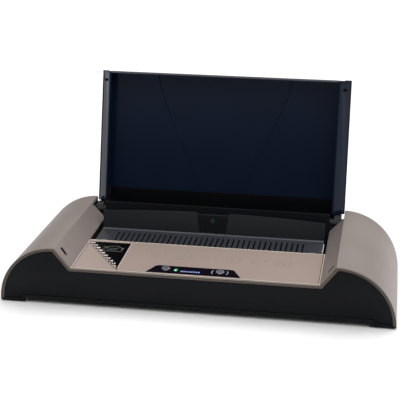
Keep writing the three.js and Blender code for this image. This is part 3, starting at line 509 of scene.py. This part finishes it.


# ---- Edges: painted highlights and painted shade ----
# A narrow bevel runs round the deck and the gauge's straight sides, painted paler than the deck as a painted
# highlight, with a dark line inside it that is painted shade in the seam. A band of painted shadow runs along
# the gauge's steps, and painted shade marks a slit at its tip.
def strokes(name, lines, width, z0, z1, surface=on_deck):
    """Raised lines: each stroke is a thin strip along its points, in mm on a surface."""
    shape = bmesh.new()
    for points in lines:
        for (ax, ay), (bx, by) in zip(points, points[1:]):
            along = Vector((bx - ax, by - ay)).normalized() * width / 2
            across = Vector((-along.y, along.x))
            corners = [(ax - along.x + across.x, ay - along.y + across.y),
                       (ax - along.x - across.x, ay - along.y - across.y),
                       (bx + along.x - across.x, by + along.y - across.y),
                       (bx + along.x + across.x, by + along.y + across.y)]
            low = [shape.verts.new(surface(x, y, z0)) for x, y in corners]
            high = [shape.verts.new(surface(x, y, z1)) for x, y in corners]
            shape.faces.new(high)
            shape.faces.new(low[::-1])
            for i in range(4):
                j = (i + 1) % 4
                shape.faces.new((low[i], low[j], high[j], high[i]))
    bmesh.ops.recalc_face_normals(shape, faces=shape.faces)
    return mesh_from(shape, name)


def line_work(name, lines, width, z0, z1, material, body, surface=on_deck, edge=0.0, segments=2):
    """Strokes finished as one piece."""
    finish_piece(name, strokes(name, lines, width, z0, z1, surface), material, body, (), edge, segments)


def printed_ink(name, code, roughness=0.45):
    """Screen ink: a thin, slightly uneven matt film, with patches about 1 mm across."""
    made, tree = new_material(name)
    where = place(tree, "ShaderNodeTexCoord").outputs["Object"]
    patch = place(tree, "ShaderNodeTexNoise", {"Vector": where, "Scale": 900.0, "Detail": 2.0})
    base = colour(code)
    faded = tuple(c * 0.86 for c in base[:3]) + (1.0,)
    tint = place(tree, "ShaderNodeMix", {0: patch, 6: faded, 7: base}, data_type="RGBA")
    film = place(tree, "ShaderNodeBsdfPrincipled", {"Base Color": tint.outputs[2], "Roughness": roughness})
    place(tree, "ShaderNodeOutputMaterial", {0: film})
    return made


# Lacquer painted paler than the deck: a painted highlight that reads as a thin bright line.
edge_highlight_paint = metallic_paint("painted_highlight_edge", "#DDD2C6", "#CABFB2", 0.3, 0.2, 0.2)
edge_x, front_y, rear_y = 164.0, -6.2, 96.0
border = [[(-edge_x, front_y), (edge_x, front_y)], [(edge_x + 0.1, front_y), (edge_x + 0.1, rear_y)],
          [(edge_x, rear_y), (-edge_x, rear_y)], [(-edge_x - 0.1, rear_y), (-edge_x - 0.1, front_y)],
          [(-103.2, 3.2), (-103.2, 90.3), (-160.5, 90.3)]]
line_work("deck_edges", border, 1.1, -0.4, 0.22, edge_highlight_paint, "base", edge=0.3, segments=3)
# Dark bronze lines are painted shade in the seams beside the deck and in the gauge's slit, and the paler band
# is a painted shadow of the gauge's steps.
seam_shade = printed_ink("painted_seam_shade", "#3B332D")
step_shadow = printed_ink("painted_step_shadow", "#93857A")
seams = [[(side * 162.7, -5.2), (side * 162.7, 95.0)] for side in (-1, 1)]
line_work("deck_seams", seams, 0.9, -0.1, 0.05, seam_shade, "base")
line_work("gauge_slit", [[(-105, 2.8), (-102.2, -5.0)]], 1.8, -0.1, 0.07, seam_shade, "base")
line_work("gauge_band", [[(-108.4, 1.2), (-163.2, 84.9)]], 2.6, -0.1, 0.06, step_shadow, "base")


# ---- Printed instructions ----
# Fine grey-brown line drawings screen-printed across the deck: six generic sheets, each with an arrow
# towards the slot, and a loop round every other one.
def document_sign(x, y):
    """A sheet with two lines of writing on it."""
    return [[(x - 5, y - 7), (x + 5, y - 7), (x + 5, y + 7), (x - 5, y + 7), (x - 5, y - 7)],
            [(x - 3, y + 3), (x + 3, y + 3)], [(x - 3, y), (x + 3, y)]]


def arrow_sign(x, y, reach):
    """An arrow that points to the back."""
    tip = y + reach
    return [[(x, y - reach), (x, tip)], [(x - 2.2, tip - 2.8), (x, tip), (x + 2.2, tip - 2.8)]]


signs_y = 56
signs = []
for number, x in enumerate((-62, -28, 6, 40, 74, 108)):
    signs += document_sign(x, signs_y)
    signs += arrow_sign(x + 13, signs_y, 6)
    if number % 2:
        signs.append(arc(x, signs_y, 9, 11, 200, 340))
# Warm grey ink, barely darker than the lacquer under it.
sign_ink = printed_ink("warm_grey_ink", "#8C8078")
line_work("deck_signs", signs, 0.5, -0.02, 0.04, sign_ink, "base")


# ---- Thickness gauge ----
# A black film triangle stuck in its pocket, with a flight of ten steps and a number printed on each,
# that tells which cover fits a stack of paper.
film_low, film_high = -0.5, 0.4
# Polyester film printed black on its back: deep black with a thin gloss.
gauge_black = grained("black_gauge_film", "#020203", 0.3, 1.0, 0.08, 0.05, 0.03)
gauge = deck_slab("thickness_gauge", gauge_outline(), film_low, film_high)
finish_piece("thickness_gauge", gauge, gauge_black, "base", ["thickness_gauge"], 0.12, 1)

joined = bmesh.new()
for i in range(gauge_steps):
    text = bpy.data.curves.new("figure", "FONT")
    text.body = str(6 * (i + 1))
    text.size = 5.8 * MM
    text.offset = 0.16 * MM
    text.align_x = "LEFT"
    text.extrude = 0.03 * MM
    holder = add_object("figure", text)
    figure = made_plain(holder)
    bpy.data.objects.remove(holder)
    figure.transform(deck_turn @ Matrix.Translation((
        (gauge_right - (i + 1) * step_x + 0.5) * MM, (gauge_front + i * step_y + 1.4) * MM, 0.43 * MM)))
    joined.from_mesh(figure)
# Opaque white ink for the numbers, and a mid grey for the symbol beside them.
white_ink = printed_ink("white_ink", "#F2F2F0", 0.4)
grey_ink = printed_ink("grey_ink", "#8F9092")
finish_piece("gauge_figures", mesh_from(joined, "gauge_figures"), white_ink, "base")
hint = [arc(-124, 64, 13, 12, 15, 150), [(-139, 58), (-112, 58), (-110, 72)],
        [(-138, 66), (-131, 69), (-139, 73)], [(-131, 63), (-119, 63)], [(-129, 68), (-117, 68)]]
line_work("gauge_sign", hint, 0.6, 0.35, 0.43, grey_ink, "base")


# ---- Control film ----
# A purple-black polyester film with rounded rear corners, stuck over the switches, with two holes cut in
# it for the buttons.
film_black = grained("gloss_purple_black_film", "#0C0510", 0.2, 1.2, 0.05, 0.05, 0.08)  # smooth, and glossy
overlay = deck_slab("control_overlay", overlay_outline(), film_low, film_high)
finish_piece("control_overlay", overlay, film_black, "base", ["control_overlay"], 0.15, 2,
             button_cutters())


# ---- Buttons ----
# Two moulded caps in silver paint, guided by their holes, that press on the switches below. Each has its
# symbol printed on its crowned top, and brackets are printed on the film round the start button.
button_paint = metallic_paint("silver_button_paint", "#82838C", "#676871", 0.38, 0.3, 0.05)  # cool, satin
button_ink = printed_ink("charcoal_ink", "#3A3B42")  # soft dark lines on the silver
cap_profile = ((0.0, -2.8), (0.0, 0.7), (0.15, 1.0), (0.45, 1.25), (1.0, 1.4), (1.4, 1.3), (1.55, 1.1))
power_mark = [arc(power_x, 11.4, 2.4, 2.4, 120, 420, 16), [(power_x, 11.6), (power_x, 14.6)]]
start_mark = [arc(start_x, 11.8, 2.6, 2.6, 0, 360, 20)]
for name, x, mark in (("power_button", power_x, power_mark), ("start_button", start_x, start_mark)):
    rings = [[on_deck(px, py, z) for px, py in cap_outline(x, inset)] for inset, z in cap_profile]
    finish_piece(name, skin_between(name, rings), button_paint, name, [name])
    line_work(f"{name}_mark", mark, 0.8, 1.0, 1.44, button_ink, name)
silver_ink = printed_ink("silver_ink", "#C4C4CC")  # bright against the film
brackets = [arc(start_x + side * 4.2, 9.8, 6.6, 7.5, 90 - side * 128, 90 - side * 52, 10) for side in (-1, 1)]
line_work("bracket_marks", brackets, 1.3, 0.35, 0.44, silver_ink, "base")


# ---- Lights ----
# Clear plastic light pipes under the film: one green for ready, with a window round it whose green is a
# painted glow, and a row of eight slanted blue ones in a dark window with a faint painted blue glow, for
# warming up.
def lit_plastic(name, core, halo, strength):
    """A clear light pipe with a lamp behind it: brightest in the middle of its face."""
    made, tree = new_material(name)
    facing = place(tree, "ShaderNodeLayerWeight", {"Blend": 0.4})
    glow = place(tree, "ShaderNodeMix", {0: facing.outputs["Facing"], 6: colour(core), 7: colour(halo)},
                 data_type="RGBA")
    lens = place(tree, "ShaderNodeBsdfPrincipled", {
        "Base Color": glow.outputs[2], "Roughness": 0.3, "Emission Color": glow.outputs[2],
        "Emission Strength": strength})
    place(tree, "ShaderNodeOutputMaterial", {0: lens})
    return made


def dome(name, x, y, radius_x, radius_y, low, high, slant=0.0):
    """A low oval lens on the deck, which may slant to the right towards the back."""
    rings = []
    for share, z in ((1.0, low), (1.0, high - 0.3), (0.86, high - 0.1), (0.5, high)):
        oval = arc(x, y, radius_x * share, radius_y * share, 0, 337.5, 15)
        rings.append([on_deck(px + (py - y) * slant, py, z) for px, py in oval])
    return skin_between(name, rings)


def tree_with(name, **inputs):
    """A Geometry Nodes tree with named inputs, and those inputs."""
    tree = bpy.data.node_groups.new(name, "GeometryNodeTree")
    tree.interface.new_socket("Geometry", in_out="OUTPUT", socket_type="NodeSocketGeometry")
    for word, kind in inputs.items():
        tree.interface.new_socket(word, in_out="INPUT", socket_type=f"NodeSocket{kind}")
    return tree, place(tree, "NodeGroupInput").outputs


def end_tree(tree, geometry, material):
    """Ends a tree: its copies become real faces and take their material."""
    real = place(tree, "GeometryNodeRealizeInstances", {0: geometry})
    dressed = place(tree, "GeometryNodeSetMaterial", {"Geometry": real, "Material": material})
    place(tree, "NodeGroupOutput", {0: dressed})
    return tree


def row_of_lights(material):
    """A tree that sets a row of lenses along the film, at a pitch."""
    tree, given = tree_with("row_of_lights", Lens="Geometry", Count="Int", Pitch="Float")
    offset = place(tree, "ShaderNodeCombineXYZ", {"X": given["Pitch"]})
    line = place(tree, "GeometryNodeMeshLine", {"Count": given["Count"], "Offset": offset})
    copies = place(tree, "GeometryNodeInstanceOnPoints", {"Points": line,
                                                          "Instance": given["Lens"]})
    return end_tree(tree, copies, material)


def grown(name, mesh, tree, **values):
    """Runs a tree on a mesh and gives back the plain mesh that it makes."""
    holder = add_object(name, mesh)
    grower = holder.modifiers.new("grow", "NODES")
    grower.node_group = tree
    for item in tree.interface.items_tree:
        if item.in_out == "INPUT" and item.name in values:
            grower[item.identifier] = values[item.name]
    made = made_plain(holder)
    bpy.data.objects.remove(holder)
    return made


# Lit pipes glow from a pale core to a full colour at their rims; their windows are tinted with a painted glow
# of them.
green_light = lit_plastic("green_light_pipe", "#8DF5B8", "#3FBF78", 0.9)
blue_light = lit_plastic("blue_light_pipe", "#BCD6FF", "#2C5FE0", 1.5)
green_glow_window = printed_ink("painted_green_glow", "#12502F")
blue_glow_window = printed_ink("painted_blue_glow", "#070A1C")
finish_piece("status_light", dome("status_light", -25.9, 7.6, 2.0, 2.6, -1, 0.65), green_light, "base",
             ["status_light"])
finish_piece("status_halo", dome("status_halo", -25.7, 9.0, 3.4, 6.2, -0.4, 0.5), green_glow_window, "base")
lens = dome("lens", -17.4, 5, 0.48, 2.3, -1, 0.6, 0.3)
lenses = grown("lights", lens, row_of_lights(blue_light), Count=8, Pitch=3.3 * MM)
finish_piece("progress_lights", lenses, blue_light, "base", ["progress_light_bar"])
window_outline = [(-19.6, 2.2), (5.6, 2.2), (6.4, 5), (5.6, 7.8), (-19.6, 7.8), (-20.4, 5)]
finish_piece("progress_window", deck_slab("progress_window", window_outline, 0.3, 0.44), blue_glow_window, "base")


# ---- Clamp ----
# A sliding carriage: a slotted steel plate that runs under the deck, and an arched ABS board that stands
# on its rear edge, with a scoop and a soft grip for the finger that pulls it against the document.
def slotted(material):
    """A tree that cuts a row of round-ended slots through a plate."""
    tree, given = tree_with("slotted_plate", Plate="Geometry", Count="Int", Pitch="Float", Width="Float",
                            Length="Float", Depth="Float", Start="Vector", Turn="Vector")
    half = place(tree, "ShaderNodeMath", {0: given["Width"], 1: 0.49}, operation="MULTIPLY")
    shape = place(tree, "GeometryNodeCurvePrimitiveQuadrilateral", {"Width": given["Width"],
                                                                    "Height": given["Length"]})
    round_ends = place(tree, "GeometryNodeFilletCurve", {
        "Curve": shape, "Count": 6, "Radius": half, "Limit Radius": True}, mode="POLY")
    face = place(tree, "GeometryNodeFillCurve", {0: round_ends}, mode="NGONS")
    deep = place(tree, "ShaderNodeCombineXYZ", {"Z": given["Depth"]})
    body = place(tree, "GeometryNodeExtrudeMesh", {"Mesh": face, "Offset": deep,
                                                   "Individual": False})
    flipped = place(tree, "GeometryNodeFlipFaces", {0: face})
    whole = place(tree, "GeometryNodeJoinGeometry", {0: body})
    tree.links.new(flipped.outputs[0], whole.inputs[0])
    solid = place(tree, "GeometryNodeMergeByDistance", {"Geometry": whole, "Distance": 1e-6})
    step = place(tree, "ShaderNodeCombineXYZ", {"X": given["Pitch"]})
    line = place(tree, "GeometryNodeMeshLine", {"Count": given["Count"], "Offset": step})
    copies = place(tree, "GeometryNodeInstanceOnPoints", {"Points": line, "Instance": solid})
    real = place(tree, "GeometryNodeRealizeInstances", {0: copies})
    set_down = place(tree, "GeometryNodeTransform", {
        "Geometry": real, "Translation": given["Start"], "Rotation": given["Turn"]})
    cut = place(tree, "GeometryNodeMeshBoolean", {"Mesh 1": given["Plate"], "Mesh 2": set_down},
                operation="DIFFERENCE", solver="EXACT")
    return end_tree(tree, cut, material)


# Graphite paint on steel: dark, metallic, with a dull sheen. Its folded hem is drawn lighter.
plate_metal = metallic_paint("graphite_plate_paint", "#4E4F56", "#35363C", 0.32, 0.55, 0.05)
hem_metal = metallic_paint("satin_graphite_hem", "#7A7B80", "#606167", 0.36, 0.55, 0.05)
guide_ink = printed_ink("pale_grey_ink", "#A8A9AC")  # short pale lines that show where paper goes
plate_outline = [(-159.5, 75), (159.5, 75), (159.5, 154.3), (-159.5, 154.3)]
slot_count, slot_pitch = 36, 7.54
plate_mesh = grown(
    "plate", deck_slab("plate_slab", plate_outline, -5.3, -3.3), slotted(plate_metal), Count=slot_count,
    Pitch=slot_pitch * MM, Width=2.0 * MM, Length=42 * MM, Depth=6 * MM,
    Start=on_deck(-(slot_count - 1) / 2 * slot_pitch, 119, -7), Turn=(deck_tilt, 0.0, 0.0))
finish_piece("clamp_plate", plate_mesh, plate_metal, "clamp", ["clamp_plate"], 0.25, 2)
hem = [[(-157.2, 151.6), (157.2, 151.6)]]
line_work("plate_hem", hem, 4.4, -3.5, -2.8, hem_metal, "clamp", edge=0.3, segments=3)
guides = [[(side * 150, y), (side * 143, y)] for y in (104, 107) for side in (-1, 1)]
line_work("plate_marks", guides, 0.8, -3.35, -3.22, guide_ink, "clamp")

clamp_foot, clamp_lean = Matrix.Translation((0, 155 * MM, -3.3 * MM)), math.radians(-10)
clamp_turn = deck_turn @ clamp_foot @ Matrix.Rotation(clamp_lean, 4, "X")


def on_clamp(x, y, z):
    """A point in mm on the clamp's leaning face as a point of the machine."""
    return clamp_turn @ Vector((x * MM, y * MM, z * MM))


def clamp_edge(x):
    """The height of the clamp's arched top, with its dip over the finger scoop."""
    arch = 24.2 + 5.6 * (1 - (x / 160) ** 2)
    dip = 2.6 * min(1.0, max(0.0, (25 - abs(x)) / 3.5))
    return arch - dip


def clamp_slab(name, outline, y0, y1):
    """An outline in mm on the clamp's face, made solid between two depths behind it."""
    return skin_between(name, [[on_clamp(x, y, z) for x, z in outline] for y in (y0, y1)])


tops = sorted(set([-160 + 8 * i for i in range(41)] + [-25, -23.2, -21.5, 21.5, 23.2, 25]), reverse=True)
clamp_outline = [(x, clamp_edge(x)) for x in tops]
clamp_outline += [(-160, -3), (-150.5, -3), (-150.5, -28.5), (150.5, -28.5), (150.5, -3), (160, -3)]
scoop = add_object("scoop", clamp_slab("scoop", [(-19, 1), (19, 1), (23, 36), (-23, 36)], -1, 2.2))
# Satin ABS for the board, a matt soft-touch grip, and an arrow in dark green ink.
clamp_black = grained("satin_clamp_abs", "#1C1F23", 0.42, 0.7, 0.2)
grip_black = grained("soft_grip_black", "#0B0D0F", 0.7, 0.9, 0.4, 0.05, 0.15)
arrow_ink = printed_ink("dark_green_ink", "#1C4A38")
board = clamp_slab("clamp_wall", clamp_outline, 0, 3.5)
finish_piece("clamp_wall", board, clamp_black, "clamp", ["clamp_wall"], 0.6, 3, [scoop])
arrow = [[(0, 22), (0, 16)], [(-2.2, 18.6), (0, 16), (2.2, 18.6)]]
line_work("clamp_arrow", arrow, 1.1, 0.0, 0.3, arrow_ink, "clamp",
          lambda x, z, h: on_clamp(x, 1.1 - h, z))
carry_over("clamp_grip", grip_black, "clamp")


# ---- Slot ----
# The fixed rear wall of the heated slot, moulded in heat-proof black plastic and screwed to the tray.
# It leans back behind the clamp, so that the document stands open to the front.
slot_black = grained("slot_black_abs", "#0C0F14", 0.42, 0.7, 0.2, 0.06, 0.12)  # blue-black, a dull satin
carry_over("slot_rear_wall", slot_black, "base", 0.6, 3)


# ---- Hinges ----
# Two black moulded housings, screwed to the tray, hold a steel pin each. The lid's arms turn on the pins,
# and a moulded cover closes the gap between the housings and the back.
hinge_black = grained("hinge_black_abs", "#101114", 0.45)  # plain black, a little smoother than the tray
for name in ("left", "right"):
    carry_over(f"hinge_housing_{name}", hinge_black, "base", 0.5)
    carry_over(f"lid_arm_{name}", hinge_black, "lid", 0.5)
carry_over("rear_top_cover", base_black, "base", 0.5)


# ---- Lid ----
# A deep tray moulded in smoked navy ABS with a high gloss: a flat back, flared sides and an end wall.
# It is screwed to a black bar at its root, and two latches at its free corners hold it shut.
hinge = next(joint for joint in frame["joints"] if joint["name"] == "lid_hinge")
lid_turn = Matrix.Translation(hinge["pos_m"]) @ Matrix.Rotation(math.radians(-11.8), 4, "X")


def on_lid(x, y, z):
    """A point in mm in the open lid, from its hinge axis: y to its outer face and z along it."""
    return lid_turn @ Vector((x * MM, y * MM, z * MM))


def gloss_plastic(name, code, edge_code, roughness, specular=0.09):
    """Polished smoked ABS: nearly black with a blue cast, faint moulding waves in its reflections."""
    made, tree = new_material(name)
    where = place(tree, "ShaderNodeTexCoord").outputs["Object"]
    waves = place(tree, "ShaderNodeTexNoise", {"Vector": where, "Scale": 14.0, "Detail": 1.0})  # 70 mm
    dust = place(tree, "ShaderNodeTexNoise", {"Vector": where, "Scale": 1500.0, "Detail": 2.0})  # 0.7 mm
    tint = place(tree, "ShaderNodeMix", {0: waves, 6: colour(code), 7: colour(edge_code)},
                 data_type="RGBA")
    shine = place(tree, "ShaderNodeMapRange", {"Value": dust, "To Min": roughness - 0.03,
                                               "To Max": roughness + 0.05})
    relief = place(tree, "ShaderNodeBump", {"Strength": 0.05, "Distance": 0.4 * MM, "Height": waves})
    skin = place(tree, "ShaderNodeBsdfPrincipled", {
        "Base Color": tint.outputs[2], "Roughness": shine, "Normal": relief,
        "IOR": 1.5, "Specular IOR Level": specular})
    place(tree, "ShaderNodeOutputMaterial", {0: skin})
    return made


# The inside is a deep navy, the outside greyer with sky in it, and the rim's bead is painted grey as a
# painted highlight where it catches the light.
lid_gloss = gloss_plastic("smoked_navy_abs", "#0B1425", "#0F192C", 0.16)
lid_outside = gloss_plastic("smoked_navy_outer_abs", "#0A0F1A", "#0D1320", 0.2, 0.3)
rim_highlight_gloss = gloss_plastic("painted_highlight_rim_abs", "#3A3D43", "#464A50", 0.25, 0.6)
# The border is etched matt into the outside, and the bar and the latches are satin black, made nearly black
# so that the bar also stands in for the shade along the lid's root.
border_black = grained("matt_border_abs", "#16181B", 0.7, 0.8, 0.4, 0.06, 0.3)
lid_black_and_root_shade = grained("lid_black_and_root_shade_abs", "#040507", 0.46, 0.7, 0.2, 0.05, 0.05)

behind_tray = cutter_box((-0.19, 24.4 * MM, 0), (0.19, 26 * MM, 0.21), lid_turn)
between_ears = cutter_box((-175 * MM, -0.01, 205 * MM), (175 * MM, 0.03, 0.21), lid_turn)
carry_over("lid_shell", lid_gloss, "lid", 0.8, 3, [behind_tray, between_ears])
back_outline = [(-184, 12), (184, 12), (184, 206), (175.5, 206), (174.5, 205.1), (-174.5, 205.1),
                (-175.5, 206), (-184, 206)]
back_plate = skin_between("lid_back_plate", [[on_lid(x, y, z) for x, z in back_outline] for y in (22.7, 25)])
border_path = [[(-172, 22), (172, 22), (172, 194), (-172, 194), (-172, 22)]]
border_line = strokes("lid_back_border", border_path, 1.6, -0.2, 0.0, lambda x, z, h: on_lid(x, 25.0 + h, z))
bead_section = arc(2.4, 203.75, 1.6, 1.6, 0, 345, 23)
bead = skin_between("lid_rim_bead", [[on_lid(x, y, z) for y, z in bead_section] for x in (-166.5, 166.5)])
fold_lines = [[(side * 99, 201), (side * 94, 180), (side * 80, 145), (side * 30, 36)] for side in (-1, 1)]
folds = strokes("lid_folds", fold_lines, 1.4, -0.3, 0.45, lambda x, z, h: on_lid(x, 22.5 - h, z))
for name, mesh, material, edge, segments in (
        ("lid_back_plate", back_plate, lid_outside, 0.6, 3),
        ("lid_back_border", border_line, border_black, 0, 2),
        ("lid_rim_bead", bead, rim_highlight_gloss, 0, 2),
        ("lid_folds", folds, lid_gloss, 0.2, 2)):
    finish_piece(name, mesh, material, "lid", ["lid_shell"], edge, segments)
for node in ("lid_hinge_bar", "lid_latch_left", "lid_latch_right"):
    carry_over(node, lid_black_and_root_shade, "lid")


# ---- Rear panel ----
# A plain moulded back with a row of cooling slots, screwed to the tray, that carries the mains inlet and
# a snap-in rocker switch with its symbols printed on the paddle.
vents = {"Count": 18, "Pitch": 5.2 * MM, "Width": 2.0 * MM, "Length": 16 * MM, "Depth": 3.2 * MM,
         "Start": Vector((-128 * MM, back_y + 1.2 * MM, 36 * MM)), "Turn": (math.radians(90), 0.0, 0.0)}
rear_mesh = grown("rear_panel", bare_mesh("rear_panel", False), slotted(base_black), **vents)
finish_piece("rear_panel", rear_mesh, base_black, "base", ["rear_panel"], 0.4)

inlet_black = grained("gloss_black_inlet_pbt", "#0E0F10", 0.3, 0.9, 0.15)  # hard, with a clear shine
carry_over("power_inlet", inlet_black, "base")
carry_over("rocker_housing", inlet_black, "base")
carry_over("rocker_paddle", panel_black, "rocker", 0.5, 3)
rocker = next(joint for joint in frame["joints"] if joint["name"] == "rocker_tilt")
rocker_turn = Matrix.Translation(rocker["pos_m"]) @ Matrix.Rotation(math.radians(-9), 4, "X")


def on_rocker(x, z, h):
    """A point in mm on the rocker's two sloping faces: h stands out from them."""
    out = 2.9 + z * (1.5 / 5.1 if z > 0 else -0.3 / 5.1)
    return rocker_turn @ Vector((x * MM, (out + h) * MM, z * MM))


switch_marks = [[(0, 1.6), (0, 3.6)], arc(0, -2.8, 1.1, 1.1, 0, 360, 16)]
line_work("rocker_marks", switch_marks, 0.45, -0.05, 0.08, white_ink, "rocker", on_rocker)


# ---- Screws and feet ----
# Zinc-plated steel pan-head screws with a recess, driven up into the tray's bosses, and four turned rubber
# feet with a chamfered rim, pushed into its floor.
def turned(name, profile, sides=40):
    """A closed round piece from a profile of radius and height in mm, standing at the origin."""
    turns = [2 * math.pi * i / sides for i in range(sides)]
    return skin_between(name, [[Vector((r * MM * math.cos(a), r * MM * math.sin(a), z * MM)) for a in turns]
                               for r, z in profile])


def copied(item, places, material):
    """A copy of a mesh at each of some places, as one mesh."""
    tree, given = tree_with("copied", Places="Geometry", Item="Object")
    source = place(tree, "GeometryNodeObjectInfo", {"Object": given["Item"]}, transform_space="ORIGINAL")
    copies = place(tree, "GeometryNodeInstanceOnPoints", {"Points": given["Places"],
                                                          "Instance": source.outputs["Geometry"]})
    end_tree(tree, copies, material)
    holder = add_object("item", item)
    spots = bpy.data.meshes.new("places")
    spots.from_pydata(places, [], [])
    made = grown("copies", spots, tree, Item=holder)
    bpy.data.objects.remove(holder)
    return made


def metal(name, code, roughness, stretch):
    """Bare metal with fine machining lines along one way, a little uneven in its shine."""
    made, tree = new_material(name)
    where = place(tree, "ShaderNodeTexCoord").outputs["Object"]
    drawn = place(tree, "ShaderNodeMapping", {"Vector": where, "Scale": stretch})
    lines = place(tree, "ShaderNodeTexNoise", {"Vector": drawn, "Scale": 900.0, "Detail": 3.0})
    shine = place(tree, "ShaderNodeMapRange", {"Value": lines, "To Min": roughness - 0.08,
                                               "To Max": roughness + 0.1})
    relief = place(tree, "ShaderNodeBump", {"Strength": 0.15, "Distance": 0.05 * MM, "Height": lines})
    skin = place(tree, "ShaderNodeBsdfPrincipled", {
        "Base Color": colour(code), "Metallic": 1.0, "Roughness": shine, "Normal": relief})
    place(tree, "ShaderNodeOutputMaterial", {0: skin})
    return made


zinc = metal("zinc_plated_steel", "#C2C4C6", 0.32, (1.0, 1.0, 1.0))  # pale and bright, with no direction
pan_head = turned("pan_head", [(0.4, 0.0), (0.4, -1.0), (0.9, -1.75), (2.2, -1.6), (3.0, -1.0), (3.4, -0.2),
                               (3.4, 0.3), (1.4, 0.3), (1.4, 13.0), (0.3, 13.6)], 24)
under_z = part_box("base_tray")[0].z
screws = [(x * MM, foot_y + y * MM, under_z) for x, y in ((-133, 28.7), (133, 28.7), (-174, 205), (174, 205))]
finish_piece("base_screws", copied(pan_head, screws, zinc), zinc, "base",
             [f"base_screw_{number}" for number in range(1, 5)])

rubber = grained("black_rubber", "#18181A", 0.85, 1.2, 0.5)  # dead matt, and slightly dusty
foot_profile = [(5.6, 0.35), (6.2, 0.0), (8.3, 0.0), (9.0, 0.5), (9.0, 1.2), (3.0, 1.2), (3.0, 5.0),
                (2.4, 5.5)]
for number in range(1, 5):
    low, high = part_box(f"rubber_foot_{number}")
    foot = turned("rubber_foot", foot_profile)
    foot.transform(Matrix.Translation(((low.x + high.x) / 2, (low.y + high.y) / 2, 0)))
    finish_piece(f"rubber_foot_{number}", foot, rubber, "base", [f"rubber_foot_{number}"])


# ---- Parts that keep their own shape ----
# Steel pins and rails, rubber stops, ceramic and mica round the heater, and the boards and leads: each is
# fixed to the tray, the deck frame or the clamp, and most are out of sight.
steel = metal("drawn_steel", "#C5C7CA", 0.3, (0.05, 1.0, 1.0))  # bright, with lines along its length
aluminium = metal("milled_aluminium", "#C4C6C8", 0.35, (0.03, 1.0, 1.0))  # long cutter marks
tin = metal("tinned_can", "#D8D8D4", 0.3, (1.0, 1.0, 1.0))  # white and bright
mica = grained("mica_sheet", "#8A6B43", 0.5, 3.0, 0.2, 0.3)  # brown, with pale flecks
ceramic = grained("white_ceramic", "#E4E0D6", 0.6, 1.0, 0.3)  # unglazed, chalky
solder_mask = grained("green_solder_mask", "#2F6B46", 0.35, 2.0, 0.2, 0.2)  # a glossy green skin
tape = grained("yellow_tape", "#C9A24A", 0.45, 2.0, 0.3, 0.2)  # wound film, a little uneven
ribbon = grained("grey_pvc_ribbon", "#B9BCC0", 0.5, 1.0, 0.2)  # smooth and dull
silicone = grained("red_silicone_sleeve", "#B03A2E", 0.5, 1.0, 0.2)  # rubbery red
acetal = grained("white_acetal", "#E6E6E2", 0.4)  # slippery, milky white
for material, nodes in (
        (steel, ("hinge_pin_left", "hinge_pin_right", "clamp_rail_left", "clamp_rail_right")),
        (rubber, ("lid_stop_left", "lid_stop_right")),
        (aluminium, ("heater_plate",)), (tin, ("thermal_fuse",)), (mica, ("heater_element",)),
        (ceramic, ("heater_support_left", "heater_support_right")),
        (base_black, ("temperature_sensor", "beeper", "power_tact_switch", "start_tact_switch",
                      "deck_frame")),
        (solder_mask, ("power_board", "control_board")), (tape, ("supply_transformer",)),
        (ribbon, ("ribbon_cable",)), (silicone, ("heater_lead",)),
        (acetal, ("clamp_shoe_left", "clamp_shoe_right"))):
    for node in nodes:
        frame["nodes"][node].data.materials.clear()
        frame["nodes"][node].data.materials.append(material)
